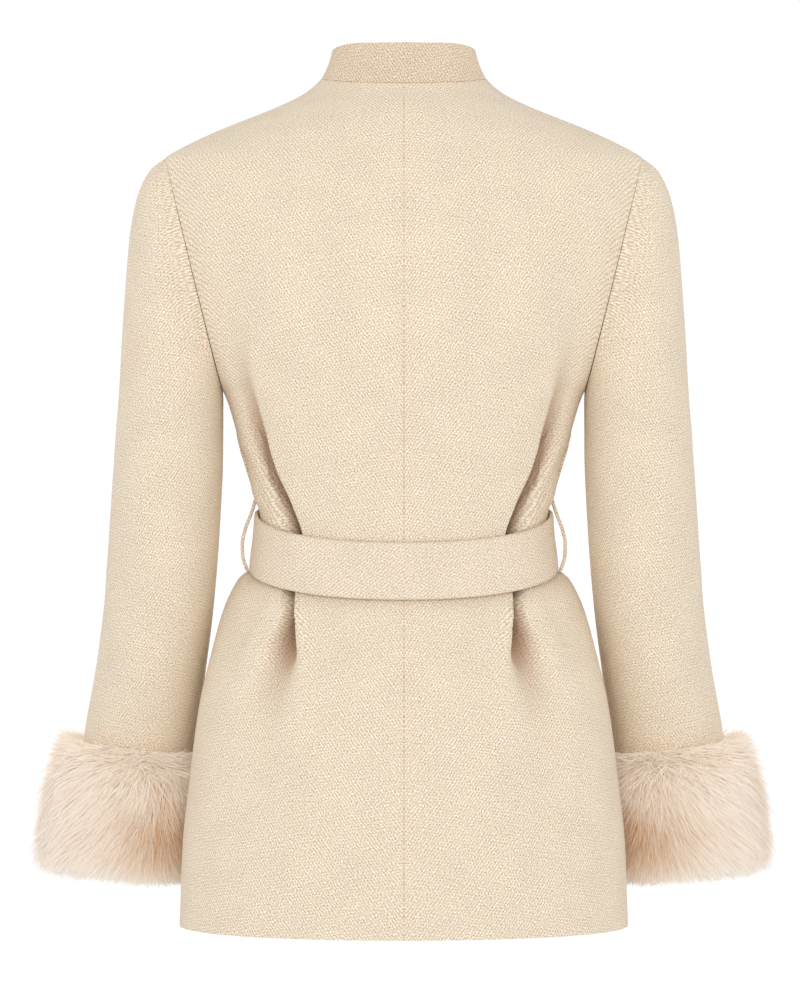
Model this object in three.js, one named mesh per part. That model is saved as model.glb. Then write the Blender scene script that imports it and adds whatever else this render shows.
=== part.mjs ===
// Short belted wool coat with a stand collar and fur cuffs, filled out as worn, with nobody in it.
// Millimetres, +Z up. The back faces +Y, the front -Y, and the wearer's left arm is at +X.
// Origin: the middle of the neck opening, at the height of the collar seam.
// A place on the body is given by its height at the side seam, the half it is on (back or front)
// and its reach, the distance along the cloth from the middle of that half.

import * as THREE from "three";
import { mergeVertices } from "three/addons/utils/BufferGeometryUtils.js";

// Cloth and seams
const CLOTH = 2.5; // wall of the wool cloth
const BELT_CLOTH = 4.6; // the belt is folded double
const SEAM_GAP = 0.3; // between two pieces sewn together
const EASE = 0.5; // between two pieces that lie on each other
const BACK = 1;
const FRONT = -1;

// Driving heights, at the side seams
const HEM = -728;
const WAIST = -397;
const UNDERARM = -269;
const SHOULDER = -65;
const NECK = 4;

// Armhole: a flat oval that leans out from the underarm to the shoulder
const ARMHOLE = { topX: 207, lowX: 157, halfDepth: 56, roundness: 2.5 };

// The body with no folds in it. back and front are the depths of the middles from the side line.
// Between underarm and shoulder the armhole cuts the sections short, so halfWidth only leads on there.
const BODY = smoothTable(
  ["height", "halfWidth", "back", "front", "roundness"],
  [
    [HEM, 195, 142, 138, 2.15],
    [-660, 192, 139, 136, 2.15],
    [-600, 185.5, 134, 132, 2.15],
    [-537, 177, 126, 126, 2.15],
    [-493, 167, 117, 119, 2.2],
    [-458, 157, 106, 111, 2.2],
    [-441, 149.5, 99, 107, 2.2],
    [-430, 142.5, 94, 104, 2.2],
    [-422, 129.8, 88, 99.5, 2.2],
    [-406, 127.9, 87, 98.5, 2.2],
    [WAIST, 126.6, 86.5, 98, 2.2],
    [-385, 125.6, 86.5, 98, 2.2],
    [-373, 125.2, 87, 99, 2.2],
    [-354, 130.5, 90, 104, 2.2],
    [-319, 141, 95, 116, 2.25],
    [UNDERARM, 157, 104, 129, 2.3],
    [-200, 200, 112, 128, 2.3],
    [-150, 226, 112, 117, 2.3],
    [-100, 230, 104, 99, 2.2],
    [-76, 219, 97, 88, 2.15],
    [SHOULDER, 207, 93, 83, 2.1],
    [-58, 195.5, 90.5, 80.5, 2.05],
    [-41, 160, 83, 73, 2],
    [-30.5, 133.5, 77, 67, 2],
    [-20, 108, 69.5, 61, 2],
    [-10, 88, 61, 54, 2],
    [-4, 80, 56, 49.5, 2],
    [NECK, 71.5, 51, 44, 2],
  ],
);

// The belt pulls the waist down at the middle of the back: fall for each mm of depth.
const WAIST_TILT = smoothTable(
  ["height", "back", "front"],
  [
    [-600, 0, 0],
    [-520, 0.1, 0.03],
    [-422, 0.3, 0.12],
    [-373, 0.3, 0.12],
    [-320, 0.17, 0.06],
    [UNDERARM, 0, 0],
  ],
);
// The neck seam is lower at the nape than on the shoulders.
const NAPE_DROP = smoothTable(["height", "drop"], [[-60, 0], [-20, 3.5], [NECK, 8]]);

// Folds that the belt gathers. x is the bottom of the fold, depth how far it is pressed in, and inner
// and outer how far it spreads towards the middle and the side.
const BACK_FOLD = smoothTable(
  ["height", "x", "depth", "inner", "outer"],
  [
    [-680, 122, 0, 26, 36],
    [-606, 119, 2.5, 24, 34],
    [-528, 114, 9, 17, 28],
    [-455, 104, 16, 11, 21],
    [-422, 95, 18, 9, 16],
    [WAIST, 93.5, 18, 9, 15],
    [-373, 94, 18, 9, 16],
    [-352, 101, 15, 11, 18],
    [-320, 115, 9.5, 16, 22],
    [-268, 132, 4, 22, 26],
    [-190, 142, 0, 24, 30],
  ],
);
const FRONT_FOLD = smoothTable(
  ["height", "x", "depth", "inner", "outer"],
  [
    [-650, 130, 0, 20, 26],
    [-540, 124, 5, 16, 22],
    [-455, 113, 10, 11, 16],
    [-422, 106, 11, 9, 12],
    [-373, 105, 11, 9, 12],
    [-330, 113, 7, 12, 16],
    [-270, 124, 0, 16, 22],
  ],
);

// Inner edge of a front: the neck seam, the slanted neckline, then the wrapped edge down to the hem.
const COLLAR_END = -25;
const FRONT_EDGE = smoothTable(
  ["height", "x"],
  [
    [HEM, -86],
    [-560, -84],
    [-430, -80],
    [-397, -74],
    [-340, -54],
    [-270, -25],
    [-200, 2],
    [-120, 29],
    [-60, 46],
    [COLLAR_END, 54],
    [-8, 62],
    [NECK, 69],
  ],
);
// The left front lies under the right one: how deep it lies, and where it comes back out.
const UNDERLAP = { depth: CLOTH + EASE + 0.8, from: 102, to: 130, fadeFrom: -150, fadeTo: -60 };

// The armhole cuts the sections short, so the columns of a panel keep to these lengths beside it, and
// only those nearest to the edge draw in to meet it.
const EVEN_REACH = { from: -316, to: COLLAR_END, drawnIn: 8 };
const EVEN_LENGTH = smoothTable(
  ["height", "back", "front"],
  [
    [EVEN_REACH.from, 192.3, 208.3],
    [-293, 199, 216],
    [UNDERARM, 203, 219],
    [-238, 204, 218.5],
    [-178, 206, 215],
    [-115, 211, 213.5],
    [-78, 216, 214],
    [SHOULDER, 216, 213],
    [-52, 207, 203],
    [-38, 184, 179],
    [EVEN_REACH.to, 153.8, 147.6],
  ],
);

// Sleeve outline, seen from the back, and its rings. A ring goes from its outer to its inner height.
const SLEEVE_OUTSIDE = smoothTable(
  ["height", "x"],
  [
    [-704, 296],
    [-632, 289],
    [-563, 281],
    [-493, 269],
    [-424, 260],
    [-354, 254.5],
    [-284, 249.5],
    [-215, 245.5],
    [-145, 239.5],
    [-110, 234.5],
    [-93, 229.5],
    [-76, 220.5],
    [SHOULDER, 207],
  ],
);
const SLEEVE_INSIDE = smoothTable(
  ["height", "x"],
  [
    [-712, 193],
    [-640, 187],
    [-575, 181],
    [-528, 176],
    [-458, 166.6],
    [-389, 160.5],
    [-319, 157.2],
    [UNDERARM, 157],
  ],
);
const SLEEVE = smoothTable(
  ["outerHeight", "innerHeight", "halfDepth", "y", "roundness"],
  [
    [-704, -712, 68, -99, 2.15],
    [-632, -642, 66, -88, 2.15],
    [-560, -571, 64, -67, 2.15],
    [-490, -504, 63.5, -44, 2.15],
    [-430, -451, 64, -27, 2.15],
    [-370, -401, 65, -14, 2.15],
    [-300, -356, 66, -7, 2.15],
    [-230, -322, 65.5, -3, 2.2],
    [-155, -294, 63, -1, 2.3],
    [-104, -280, 60, 0, 2.4],
    [-76, -272.5, 57.5, 0, 2.47],
    [SHOULDER, UNDERARM, ARMHOLE.halfDepth, 0, ARMHOLE.roundness],
  ],
);
const SLEEVE_END = -684;
const SLEEVE_ROWS = [
  SHOULDER, -69, -76, -88, -105, -130, -165, -205, -255, -310, -370, -430, -490, -540, -590, -640, SLEEVE_END,
];

// Fur cuff: how far its outside stands off the sleeve on the arm's outer side, and round the arm.
const FUR_PROFILE = smoothTable(
  ["height", "reach"],
  [
    [-700, 8],
    [-695, 17],
    [-684, 25],
    [-666, 31.5],
    [-640, 32.5],
    [-612, 30],
    [-590, 27],
    [-575, 20],
    [-566, 8],
  ],
);
const FUR_ROWS = [-566, -575, -590, -612, -640, -666, -684, -695, -700];
const FUR_ROUND = smoothTable(
  ["turn", "share"],
  [
    [0, 1],
    [45, 0.98],
    [90, 0.82],
    [135, 0.43],
    [180, 0.32],
    [225, 0.52],
    [270, 0.85],
    [315, 0.98],
    [360, 1],
  ],
);
const FUR_COLUMNS = 30;
const FUR_INSIDE = { rows: [-696, -640, -590, -570], lift: 0.9 };
const FUR_WAVES = { count: 7, height: 1.6 }; // the soft lumps of the pelt

// Collar: height above the neck seam and lean towards the neck, from the nape to the front end
const COLLAR = smoothTable(
  ["along", "height", "lean"],
  [
    [0, 35, -1],
    [0.3, 33.5, 1],
    [0.62, 27, 7.5],
    [0.85, 27, 7],
    [1, 22, 5],
  ],
);
const COLLAR_BEND = 0.32; // the collar stands up straighter towards its top edge
const COLLAR_LEVELS = [0, 0.33, 0.66, 1]; // rows of points, from the seam to the top edge

// Belt, its knot and its hanging ends
const BELT = { halfHeight: 24.5, columns: 60 };
const BELT_PROFILE = [
  { up: -1, out: 0.12 },
  { up: 1, out: 0.12 },
  { up: 1, out: 0.8 },
  { up: 0.5, out: 1 },
  { up: -0.5, out: 1 },
  { up: -1, out: 0.8 },
];
const KNOT = {
  reach: 8,
  height: -404,
  halfWidth: 29,
  halfHeight: 33,
  thickness: 20,
  seat: 1.5,
  steps: 6,
  corner: 0.1, // share by which the corners draw in
  swell: 0.45, // share of the thickness lost at the rim
  taper: 0.12, // narrower at the top, wider at the bottom
};
const BELT_ENDS = [
  { name: "belt_end_left", top: 24, bottom: 56, low: -696 },
  { name: "belt_end_right", top: -9, bottom: -42, low: -725 },
];
const BELT_END = { topHalfWidth: 13, halfWidth: 22, spread: 90, top: -430, columns: [-1, -0.33, 0.33, 1] };
// Loops at the side seams that the belt passes through
const LOOP = { top: -362, bottom: -427.5, width: 7, thickness: 2.8, steps: 13 };
const LOOP_INSIDE = smoothTable(
  ["height", "x"],
  [
    [LOOP.bottom, 138.2],
    [-421, 138.6],
    [-412, 138.6],
    [-401, 137.8],
    [-388, 136],
    [-377, 133.6],
    [-369, 131.3],
    [LOOP.top, 130],
  ],
);

// How finely the panels are divided: rows at these heights, columns at these shares of the width
const BODY_ROWS = [
  HEM, -685, -640, -596, -558, -528, -502, -480, -461, -446, -434, -427, -422, -410, WAIST, -384, -373, -362,
  -350, -335, -316, -293, UNDERARM, -263, -251, -234, -208, -178, -145, -115, -92, -79, -70, SHOULDER, -58,
  -48, -37, COLLAR_END, -13, -4, NECK,
];
const BACK_COLUMNS = [
  0, 0.13, 0.26, 0.36, 0.43, 0.48, 0.52, 0.56, 0.6, 0.64, 0.68, 0.73, 0.79, 0.86, 0.93, 1,
];
const FRONT_COLUMNS = [
  0, 0.08, 0.16, 0.25, 0.34, 0.43, 0.52, 0.6, 0.66, 0.71, 0.755, 0.8, 0.845, 0.895, 0.95, 1,
];
const SLEEVE_COLUMNS = 24;
const ARC_STEPS = 72; // samples along a half section when lengths are measured on it
const PROBE = 0.6; // step, in mm, when the tilt of the surface is measured

const MATERIALS = {
  cloth: new THREE.MeshStandardMaterial({ color: 0xeedfc8, roughness: 0.92, metalness: 0 }),
  collar: new THREE.MeshStandardMaterial({ color: 0xe6d2b8, roughness: 0.92, metalness: 0 }),
  belt: new THREE.MeshStandardMaterial({ color: 0xead6bb, roughness: 0.9, metalness: 0 }),
  fur: new THREE.MeshStandardMaterial({ color: 0xecdccb, roughness: 0.97, metalness: 0 }),
};

// A table read at any value of its first column, along smooth curves that never overshoot its rows.
function smoothTable(columns, rows) {
  const sorted = [...rows].sort((a, b) => a[0] - b[0]);
  const at = sorted.map((row) => row[0]);
  const curves = columns.slice(1).map((_, i) => {
    const values = sorted.map((row) => row[i + 1]);
    const steps = values.slice(1).map((v, k) => (v - values[k]) / (at[k + 1] - at[k]));
    const slopes = values.map((_, k) => {
      const before = steps[k - 1] ?? steps[k];
      const after = steps[k] ?? steps[k - 1];
      return before * after > 0 ? (2 * before * after) / (before + after) : 0;
    });
    return { values, slopes };
  });
  return (value) => {
    const v = Math.min(Math.max(value, at[0]), at[at.length - 1]);
    const k = Math.max(0, Math.min(at.length - 2, at.findIndex((a) => a > v) - 1));
    const i = v >= at[at.length - 1] ? at.length - 2 : k;
    const span = at[i + 1] - at[i];
    const t = (v - at[i]) / span;
    const read = {};
    columns.slice(1).forEach((name, c) => {
      const { values, slopes } = curves[c];
      const ease = t * t * (3 - 2 * t);
      const bend = span * t * (1 - t) * (slopes[i] * (1 - t) - slopes[i + 1] * t);
      read[name] = values[i] + (values[i + 1] - values[i]) * ease + bend;
    });
    return read;
  };
}

function smoothStep(value, from, to) {
  const t = Math.min(Math.max((value - from) / (to - from), 0), 1);
  return t * t * (3 - 2 * t);
}

// The side edge of a half section: the side seam, the armhole or the shoulder seam.
function sideEdge(height) {
  if (height <= UNDERARM || height >= SHOULDER) {
    return { x: BODY(height).halfWidth, depth: 0 };
  }
  const middle = (SHOULDER + UNDERARM) / 2;
  const up = (height - middle) / ((SHOULDER - UNDERARM) / 2);
  const round = ARMHOLE.roundness;
  return {
    x: (ARMHOLE.topX + ARMHOLE.lowX) / 2 + (up * (ARMHOLE.topX - ARMHOLE.lowX)) / 2,
    depth: ARMHOLE.halfDepth * (1 - Math.abs(up) ** round) ** (1 / round),
  };
}

// Half a section as an even run of points from its middle to its side edge.
const halfSections = new Map();
function halfSection(height, half) {
  const key = `${height.toFixed(4)} ${half}`;
  if (!halfSections.has(key)) {
    const size = BODY(height);
    const depth = half === BACK ? size.back : size.front;
    const edge = sideEdge(height);
    const power = 2 / size.roundness;
    const last = Math.acos((edge.depth / depth) ** (1 / power));
    const width = edge.x / Math.sin(last) ** power;
    const points = [];
    for (let i = 0; i <= ARC_STEPS; i += 1) {
      const turn = (last * i) / ARC_STEPS;
      const out = Math.max(Math.cos(turn), 0) ** power;
      points.push({ x: width * Math.sin(turn) ** power, y: half * depth * out });
    }
    points[ARC_STEPS].y = half * edge.depth;
    points[0].along = 0;
    for (let i = 1; i <= ARC_STEPS; i += 1) {
      const step = Math.hypot(points[i].x - points[i - 1].x, points[i].y - points[i - 1].y);
      points[i].along = points[i - 1].along + step;
    }
    halfSections.set(key, { points, depth, length: points[ARC_STEPS].along });
  }
  return halfSections.get(key);
}

// The place on a half section at a reach from its middle, with its outward direction.
function onSection(height, half, reach) {
  const { points, depth, length } = halfSection(height, half);
  const side = reach < 0 ? -1 : 1;
  const along = Math.min(Math.abs(reach), length);
  let i = 1;
  while (i < ARC_STEPS && points[i].along < along) i += 1;
  const a = points[i - 1];
  const b = points[i];
  const t = (along - a.along) / (b.along - a.along);
  const run = Math.hypot(b.x - a.x, b.y - a.y);
  return {
    x: side * (a.x + (b.x - a.x) * t),
    y: a.y + (b.y - a.y) * t,
    outX: (side * half * -(b.y - a.y)) / run,
    outY: (half * (b.x - a.x)) / run,
    depth,
  };
}

function foldDepth(height, half, x) {
  const fold = (half === BACK ? BACK_FOLD : FRONT_FOLD)(height);
  const off = Math.abs(x) - fold.x;
  const spread = off < 0 ? fold.inner : fold.outer;
  return fold.depth * Math.exp(-((off / spread) ** 2));
}

// A point of the cloth's outer face, moved out by lift. Without folds it is the form that the belt spans.
function bodyPoint(height, half, reach, lift = 0, folded = true) {
  const place = onSection(height, half, reach);
  const pressed = folded ? foldDepth(height, half, place.x) : 0;
  const out = lift - pressed;
  const tilt = WAIST_TILT(height);
  const share = Math.abs(place.y) / place.depth;
  const fall = half === BACK ? -tilt.back * Math.abs(place.y) : tilt.front * Math.abs(place.y);
  const drop = half === BACK ? NAPE_DROP(height).drop * share : 0;
  return new THREE.Vector3(place.x + place.outX * out, place.y + place.outY * out, height + fall - drop);
}

// The outward direction of the cloth at a place, measured on its folded face.
function bodyOut(height, half, reach, folded = true) {
  const step = Math.min(PROBE, halfSection(height, half).length / 4);
  const limit = halfSection(height, half).length;
  const right = Math.min(reach + step, limit);
  const left = Math.max(right - 2 * step, -limit);
  const up = Math.min(height + PROBE, NECK);
  const low = up - 2 * PROBE;
  const scale = (h) => halfSection(h, half).length / limit;
  const across = bodyPoint(height, half, right, 0, folded).sub(bodyPoint(height, half, left, 0, folded));
  const rise = bodyPoint(up, half, reach * scale(up), 0, folded);
  rise.sub(bodyPoint(low, half, reach * scale(low), 0, folded));
  return across.cross(rise).normalize().multiplyScalar(-half);
}

// How far along the section a given x lies.
function reachAt(height, half, x) {
  const { points, length } = halfSection(height, half);
  const size = Math.abs(x);
  const i = points.findIndex((p) => p.x > size);
  if (i < 1) return Math.sign(x) * length;
  const t = (size - points[i - 1].x) / (points[i].x - points[i - 1].x);
  return Math.sign(x) * (points[i - 1].along + t * (points[i].along - points[i - 1].along));
}

// The reach of a panel's column, from the panel's inner edge to its side edge.
function columnReach(height, half, first, last, share) {
  const beside = height > EVEN_REACH.from && height < EVEN_REACH.to;
  const even = beside ? EVEN_LENGTH(height)[half === BACK ? "back" : "front"] : last;
  return first + (even - first) * share + (last - even) * share ** EVEN_REACH.drawnIn;
}

// A closed wall between an outer and an inner sheet of points, joined along its rim.
function wall(outer, inner, closedAcross = false) {
  const rows = outer.length;
  const columns = outer[0].length;
  const positions = [];
  [...outer, ...inner].forEach((row) => row.forEach((p) => positions.push(p.x, p.y, p.z)));
  const index = [];
  const at = (sheet, row, column) => sheet * rows * columns + row * columns + (column % columns);
  const quad = (a, b, c, d) => index.push(a, b, c, a, c, d);
  const lastRow = rows - 1;
  const lastColumn = closedAcross ? columns : columns - 1;
  for (let r = 0; r < lastRow; r += 1) {
    for (let c = 0; c < lastColumn; c += 1) {
      quad(at(0, r, c), at(0, r, c + 1), at(0, r + 1, c + 1), at(0, r + 1, c));
      quad(at(1, r, c), at(1, r + 1, c), at(1, r + 1, c + 1), at(1, r, c + 1));
    }
  }
  for (let c = 0; c < lastColumn; c += 1) {
    quad(at(0, 0, c), at(1, 0, c), at(1, 0, c + 1), at(0, 0, c + 1));
    quad(at(0, lastRow, c), at(0, lastRow, c + 1), at(1, lastRow, c + 1), at(1, lastRow, c));
  }
  for (let r = 0; r < lastRow && !closedAcross; r += 1) {
    quad(at(0, r, 0), at(0, r + 1, 0), at(1, r + 1, 0), at(1, r, 0));
    quad(at(0, r, lastColumn), at(1, r, lastColumn), at(1, r + 1, lastColumn), at(0, r + 1, lastColumn));
  }
  return solid(positions, index);
}

// A ring: profiles of points, each closed on itself, in a closed row.
function ring(profiles) {
  const count = profiles.length;
  const size = profiles[0].length;
  const positions = [];
  profiles.forEach((profile) => profile.forEach((p) => positions.push(p.x, p.y, p.z)));
  const index = [];
  for (let i = 0; i < count; i += 1) {
    for (let j = 0; j < size; j += 1) {
      const a = i * size + j;
      const b = i * size + ((j + 1) % size);
      const c = ((i + 1) % count) * size + ((j + 1) % size);
      const d = ((i + 1) % count) * size + j;
      index.push(a, b, c, a, c, d);
    }
  }
  return solid(positions, index);
}

// A geometry from points and triangles, turned so that its faces point out.
function solid(positions, index) {
  let volume = 0;
  const corner = (i) => new THREE.Vector3().fromArray(positions, 3 * index[i]);
  for (let i = 0; i < index.length; i += 3) {
    volume += corner(i).dot(corner(i + 1).cross(corner(i + 2)));
  }
  if (volume < 0) {
    for (let i = 0; i < index.length; i += 3) {
      [index[i + 1], index[i + 2]] = [index[i + 2], index[i + 1]];
    }
  }
  const geometry = new THREE.BufferGeometry();
  geometry.setAttribute("position", new THREE.Float32BufferAttribute(positions, 3));
  geometry.setIndex(index);
  geometry.computeVertexNormals();
  return geometry;
}

function mesh(name, geometry, material) {
  const piece = new THREE.Mesh(geometry, material.clone());
  piece.name = name;
  return piece;
}

function mirrored(sheet) {
  return sheet.map((row) => row.map((p) => new THREE.Vector3(-p.x, p.y, p.z)));
}

// Keeps a point on one side of the armhole's plane, at half the seam gap from it.
const armholeLow = new THREE.Vector3(ARMHOLE.lowX, 0, UNDERARM);
const armholeOut = new THREE.Vector3(SHOULDER - UNDERARM, 0, ARMHOLE.lowX - ARMHOLE.topX).normalize();
function besideArmhole(point, side) {
  const off = armholeOut.dot(point.clone().sub(armholeLow)) * side;
  return off < SEAM_GAP / 2 ? point.addScaledVector(armholeOut, side * (SEAM_GAP / 2 - off)) : point;
}

// The inner point behind a place of the body, level with the neck seam along the neck.
function bodyInner(outer, height, half, reach) {
  const out = bodyOut(height, half, reach);
  if (height >= NECK) out.setZ(0).normalize();
  return outer.clone().addScaledVector(out, -CLOTH);
}

// Squares the wall's end at a side or shoulder seam, and keeps it to its own side of the armhole.
function finishSideEdge(share, height, point, behind) {
  if (share < 1) return;
  if (height <= UNDERARM || height >= SHOULDER) behind.setY(point.y);
  if (height >= UNDERARM && height <= SHOULDER) [point, behind].forEach((p) => besideArmhole(p, -1));
}

// Half of the back: from the centre seam to the side seam, armhole and shoulder seam.
function backPanel() {
  const outer = [];
  const inner = [];
  BODY_ROWS.forEach((height) => {
    const { length } = halfSection(height, BACK);
    const atArmhole = height > UNDERARM && height < SHOULDER;
    const first = SEAM_GAP / 2;
    const last = length - (atArmhole ? 0 : SEAM_GAP / 2);
    const outerRow = [];
    const innerRow = [];
    BACK_COLUMNS.forEach((share) => {
      const reach = columnReach(height, BACK, first, last, share);
      const point = bodyPoint(height, BACK, reach);
      if (height >= NECK) point.z -= SEAM_GAP / 2;
      const behind = bodyInner(point, height, BACK, reach);
      if (share === 0) behind.setX(point.x);
      finishSideEdge(share, height, point, behind);
      outerRow.push(point);
      innerRow.push(behind);
    });
    outer.push(outerRow);
    inner.push(innerRow);
  });
  return { outer, inner };
}

// A front: from its wrapped edge, past the middle, to the side seam, armhole and shoulder seam.
function frontPanel(lap) {
  const outer = [];
  const inner = [];
  BODY_ROWS.forEach((height) => {
    const { length } = halfSection(height, FRONT);
    const atArmhole = height > UNDERARM && height < SHOULDER;
    const alongNeck = height >= COLLAR_END;
    const first = reachAt(height, FRONT, FRONT_EDGE(height).x) + (alongNeck ? SEAM_GAP / 2 : 0);
    const last = length - (atArmhole ? 0 : SEAM_GAP / 2);
    const outerRow = [];
    const innerRow = [];
    FRONT_COLUMNS.forEach((share) => {
      const reach = columnReach(height, FRONT, first, last, share);
      const { x } = onSection(height, FRONT, reach);
      const under = 1 - smoothStep(x, UNDERLAP.from, UNDERLAP.to);
      const below = 1 - smoothStep(height, UNDERLAP.fadeFrom, UNDERLAP.fadeTo);
      const point = bodyPoint(height, FRONT, reach, -lap * under * below);
      if (height >= NECK) point.z -= SEAM_GAP / 2;
      const behind = bodyInner(point, height, FRONT, reach);
      finishSideEdge(share, height, point, behind);
      outerRow.push(point);
      innerRow.push(behind);
    });
    outer.push(outerRow);
    inner.push(innerRow);
  });
  return { outer, inner };
}

// A point of the sleeve's outer face: turn 0 is the arm's outer side, 90 its back, 180 its inner side.
function sleevePoint(outerHeight, turn, lift = 0) {
  const size = SLEEVE(outerHeight);
  const top = new THREE.Vector2(SLEEVE_OUTSIDE(outerHeight).x, outerHeight);
  const low = new THREE.Vector2(SLEEVE_INSIDE(size.innerHeight).x, size.innerHeight);
  const middle = top.clone().add(low).multiplyScalar(0.5);
  const half = top.clone().sub(low).multiplyScalar(0.5);
  const angle = THREE.MathUtils.degToRad(turn);
  const power = 2 / size.roundness;
  const cos = Math.sign(Math.cos(angle)) * Math.abs(Math.cos(angle)) ** power;
  const sin = Math.sign(Math.sin(angle)) * Math.abs(Math.sin(angle)) ** power;
  const grow = 1 + lift / half.length();
  return new THREE.Vector3(
    middle.x + half.x * cos * grow,
    size.y + (size.halfDepth + lift) * sin,
    middle.y + half.y * cos * grow,
  );
}

function sleeveOut(outerHeight, turn) {
  const up = Math.min(outerHeight + PROBE, SHOULDER);
  const rise = sleevePoint(up, turn).sub(sleevePoint(up - 2 * PROBE, turn));
  const round = sleevePoint(outerHeight, turn + 1).sub(sleevePoint(outerHeight, turn - 1));
  return round.cross(rise).normalize();
}

function sleeve() {
  const outer = [];
  const inner = [];
  SLEEVE_ROWS.forEach((height) => {
    const outerRow = [];
    const innerRow = [];
    for (let i = 0; i < SLEEVE_COLUMNS; i += 1) {
      const turn = (360 * i) / SLEEVE_COLUMNS;
      const point = sleevePoint(height, turn);
      const behind = point.clone().addScaledVector(sleeveOut(height, turn), -CLOTH);
      outerRow.push(besideArmhole(point, 1));
      innerRow.push(besideArmhole(behind, 1));
    }
    outer.push(outerRow);
    inner.push(innerRow);
  });
  return { outer, inner };
}

// Each profile runs down the outside of the fur and back up along the sleeve.
function furCuff() {
  const profiles = [];
  for (let i = 0; i < FUR_COLUMNS; i += 1) {
    const turn = (360 * i) / FUR_COLUMNS;
    const share = FUR_ROUND(turn).share;
    const wave = FUR_WAVES.height * Math.sin(THREE.MathUtils.degToRad(turn * FUR_WAVES.count));
    const outside = FUR_ROWS.map((height, row) => {
      const edge = row === 0 || row === FUR_ROWS.length - 1;
      return sleevePoint(height, turn, FUR_PROFILE(height).reach * share + (edge ? 0 : wave * share));
    });
    const inside = FUR_INSIDE.rows.map((height) => sleevePoint(height, turn, FUR_INSIDE.lift));
    profiles.push([...outside, ...inside]);
  }
  return ring(profiles);
}

// Places along half of the neck seam: the top of the back, then down the inner edge of the front.
function neckSeam() {
  const { length } = halfSection(NECK, BACK);
  const behind = BACK_COLUMNS.map((share) => ({ height: NECK, half: BACK, reach: length * share }));
  const before = BODY_ROWS.filter((height) => height >= COLLAR_END).reverse();
  const ahead = before.map((height) => {
    return { height, half: FRONT, reach: reachAt(height, FRONT, FRONT_EDGE(height).x) };
  });
  return [...behind, ...ahead];
}

function collar() {
  const halfOuter = COLLAR_LEVELS.map(() => []);
  const halfInner = COLLAR_LEVELS.map(() => []);
  const places = neckSeam();
  const points = places.map(({ height, half, reach }) => bodyPoint(height, half, reach));
  const lengths = points.map((p, i) => (i > 0 ? p.distanceTo(points[i - 1]) : 0));
  const total = lengths.reduce((sum, step) => sum + step, 0);
  let run = 0;
  places.forEach(({ height, half, reach }, i) => {
    run += lengths[i];
    const size = COLLAR(run / total);
    const out = bodyOut(height, half, reach).setZ(0).normalize();
    if (i === 0) out.set(0, 1, 0);
    COLLAR_LEVELS.forEach((level, row) => {
      const lean = size.lean * (level * (1 + COLLAR_BEND) - COLLAR_BEND * level * level);
      const outer = points[i].clone().addScaledVector(out, -lean);
      outer.z += (half === BACK ? SEAM_GAP / 2 : SEAM_GAP) + size.height * level;
      halfOuter[row].push(outer);
      halfInner[row].push(outer.clone().addScaledVector(out, -CLOTH));
    });
  });
  const whole = (half) => half.map((row) => [...mirrored([row.slice(1)])[0].reverse(), ...row]);
  return wall(whole(halfOuter), whole(halfInner));
}

// Places right round the waist: reach along the back half, then along the front half.
function roundWaist(share) {
  const quarter = Math.floor(share * 4) % 4;
  const part = share * 4 - Math.floor(share * 4);
  const half = quarter === 0 || quarter === 3 ? BACK : FRONT;
  const rising = quarter === 0 || quarter === 2;
  const side = quarter < 2 ? 1 : -1;
  return { half, part: side * (rising ? part : 1 - part) };
}

function belt() {
  const profiles = [];
  for (let i = 0; i < BELT.columns; i += 1) {
    const { half, part } = roundWaist(i / BELT.columns);
    profiles.push(
      BELT_PROFILE.map(({ up, out }) => {
        const height = WAIST + up * BELT.halfHeight;
        const reach = part * halfSection(height, half).length;
        return bodyPoint(height, half, reach, EASE + out * BELT_CLOTH, false);
      }),
    );
  }
  return ring(profiles);
}

// The knot: a soft cushion shape laid out on the front of the belt.
function knot() {
  const n = KNOT.steps;
  const block = new THREE.BoxGeometry(2, 2, 1, n, n, 2).deleteAttribute("uv").deleteAttribute("normal");
  const geometry = mergeVertices(block);
  const place = geometry.getAttribute("position");
  for (let i = 0; i < place.count; i += 1) {
    const p = new THREE.Vector3().fromBufferAttribute(place, i);
    const round = 1 - KNOT.corner * (p.x * p.y) ** 2;
    const swell = 1 - KNOT.swell * Math.max(Math.abs(p.x), Math.abs(p.y)) ** 3;
    const height = KNOT.height + p.y * round * KNOT.halfHeight;
    const reach = KNOT.reach + p.x * round * KNOT.halfWidth * (1 - KNOT.taper * p.y);
    const front = EASE + BELT_CLOTH + KNOT.seat;
    const out = front + (p.z + 0.5) * KNOT.thickness * swell;
    const moved = bodyPoint(height, FRONT, reach, out, false);
    place.setXYZ(i, moved.x, moved.y, moved.z);
  }
  return solid(Array.from(place.array), Array.from(geometry.getIndex().array));
}

// A hanging end of the belt, laid on the front of the skirt.
function beltEnd(end) {
  const outer = [];
  const inner = [];
  const between = BODY_ROWS.filter((height) => height < BELT_END.top && height > end.low);
  [end.low, ...between, BELT_END.top].forEach((height) => {
    const share = (BELT_END.top - height) / (BELT_END.top - end.low);
    const middle = end.top + (end.bottom - end.top) * share;
    const open = smoothStep(BELT_END.top - height, 0, BELT_END.spread);
    const halfWidth = BELT_END.topHalfWidth + (BELT_END.halfWidth - BELT_END.topHalfWidth) * open;
    const reaches = BELT_END.columns.map((side) => middle + side * halfWidth);
    outer.push(reaches.map((reach) => bodyPoint(height, FRONT, reach, EASE + BELT_CLOTH, false)));
    inner.push(reaches.map((reach) => bodyPoint(height, FRONT, reach, EASE, false)));
  });
  return wall(outer, inner);
}

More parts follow.
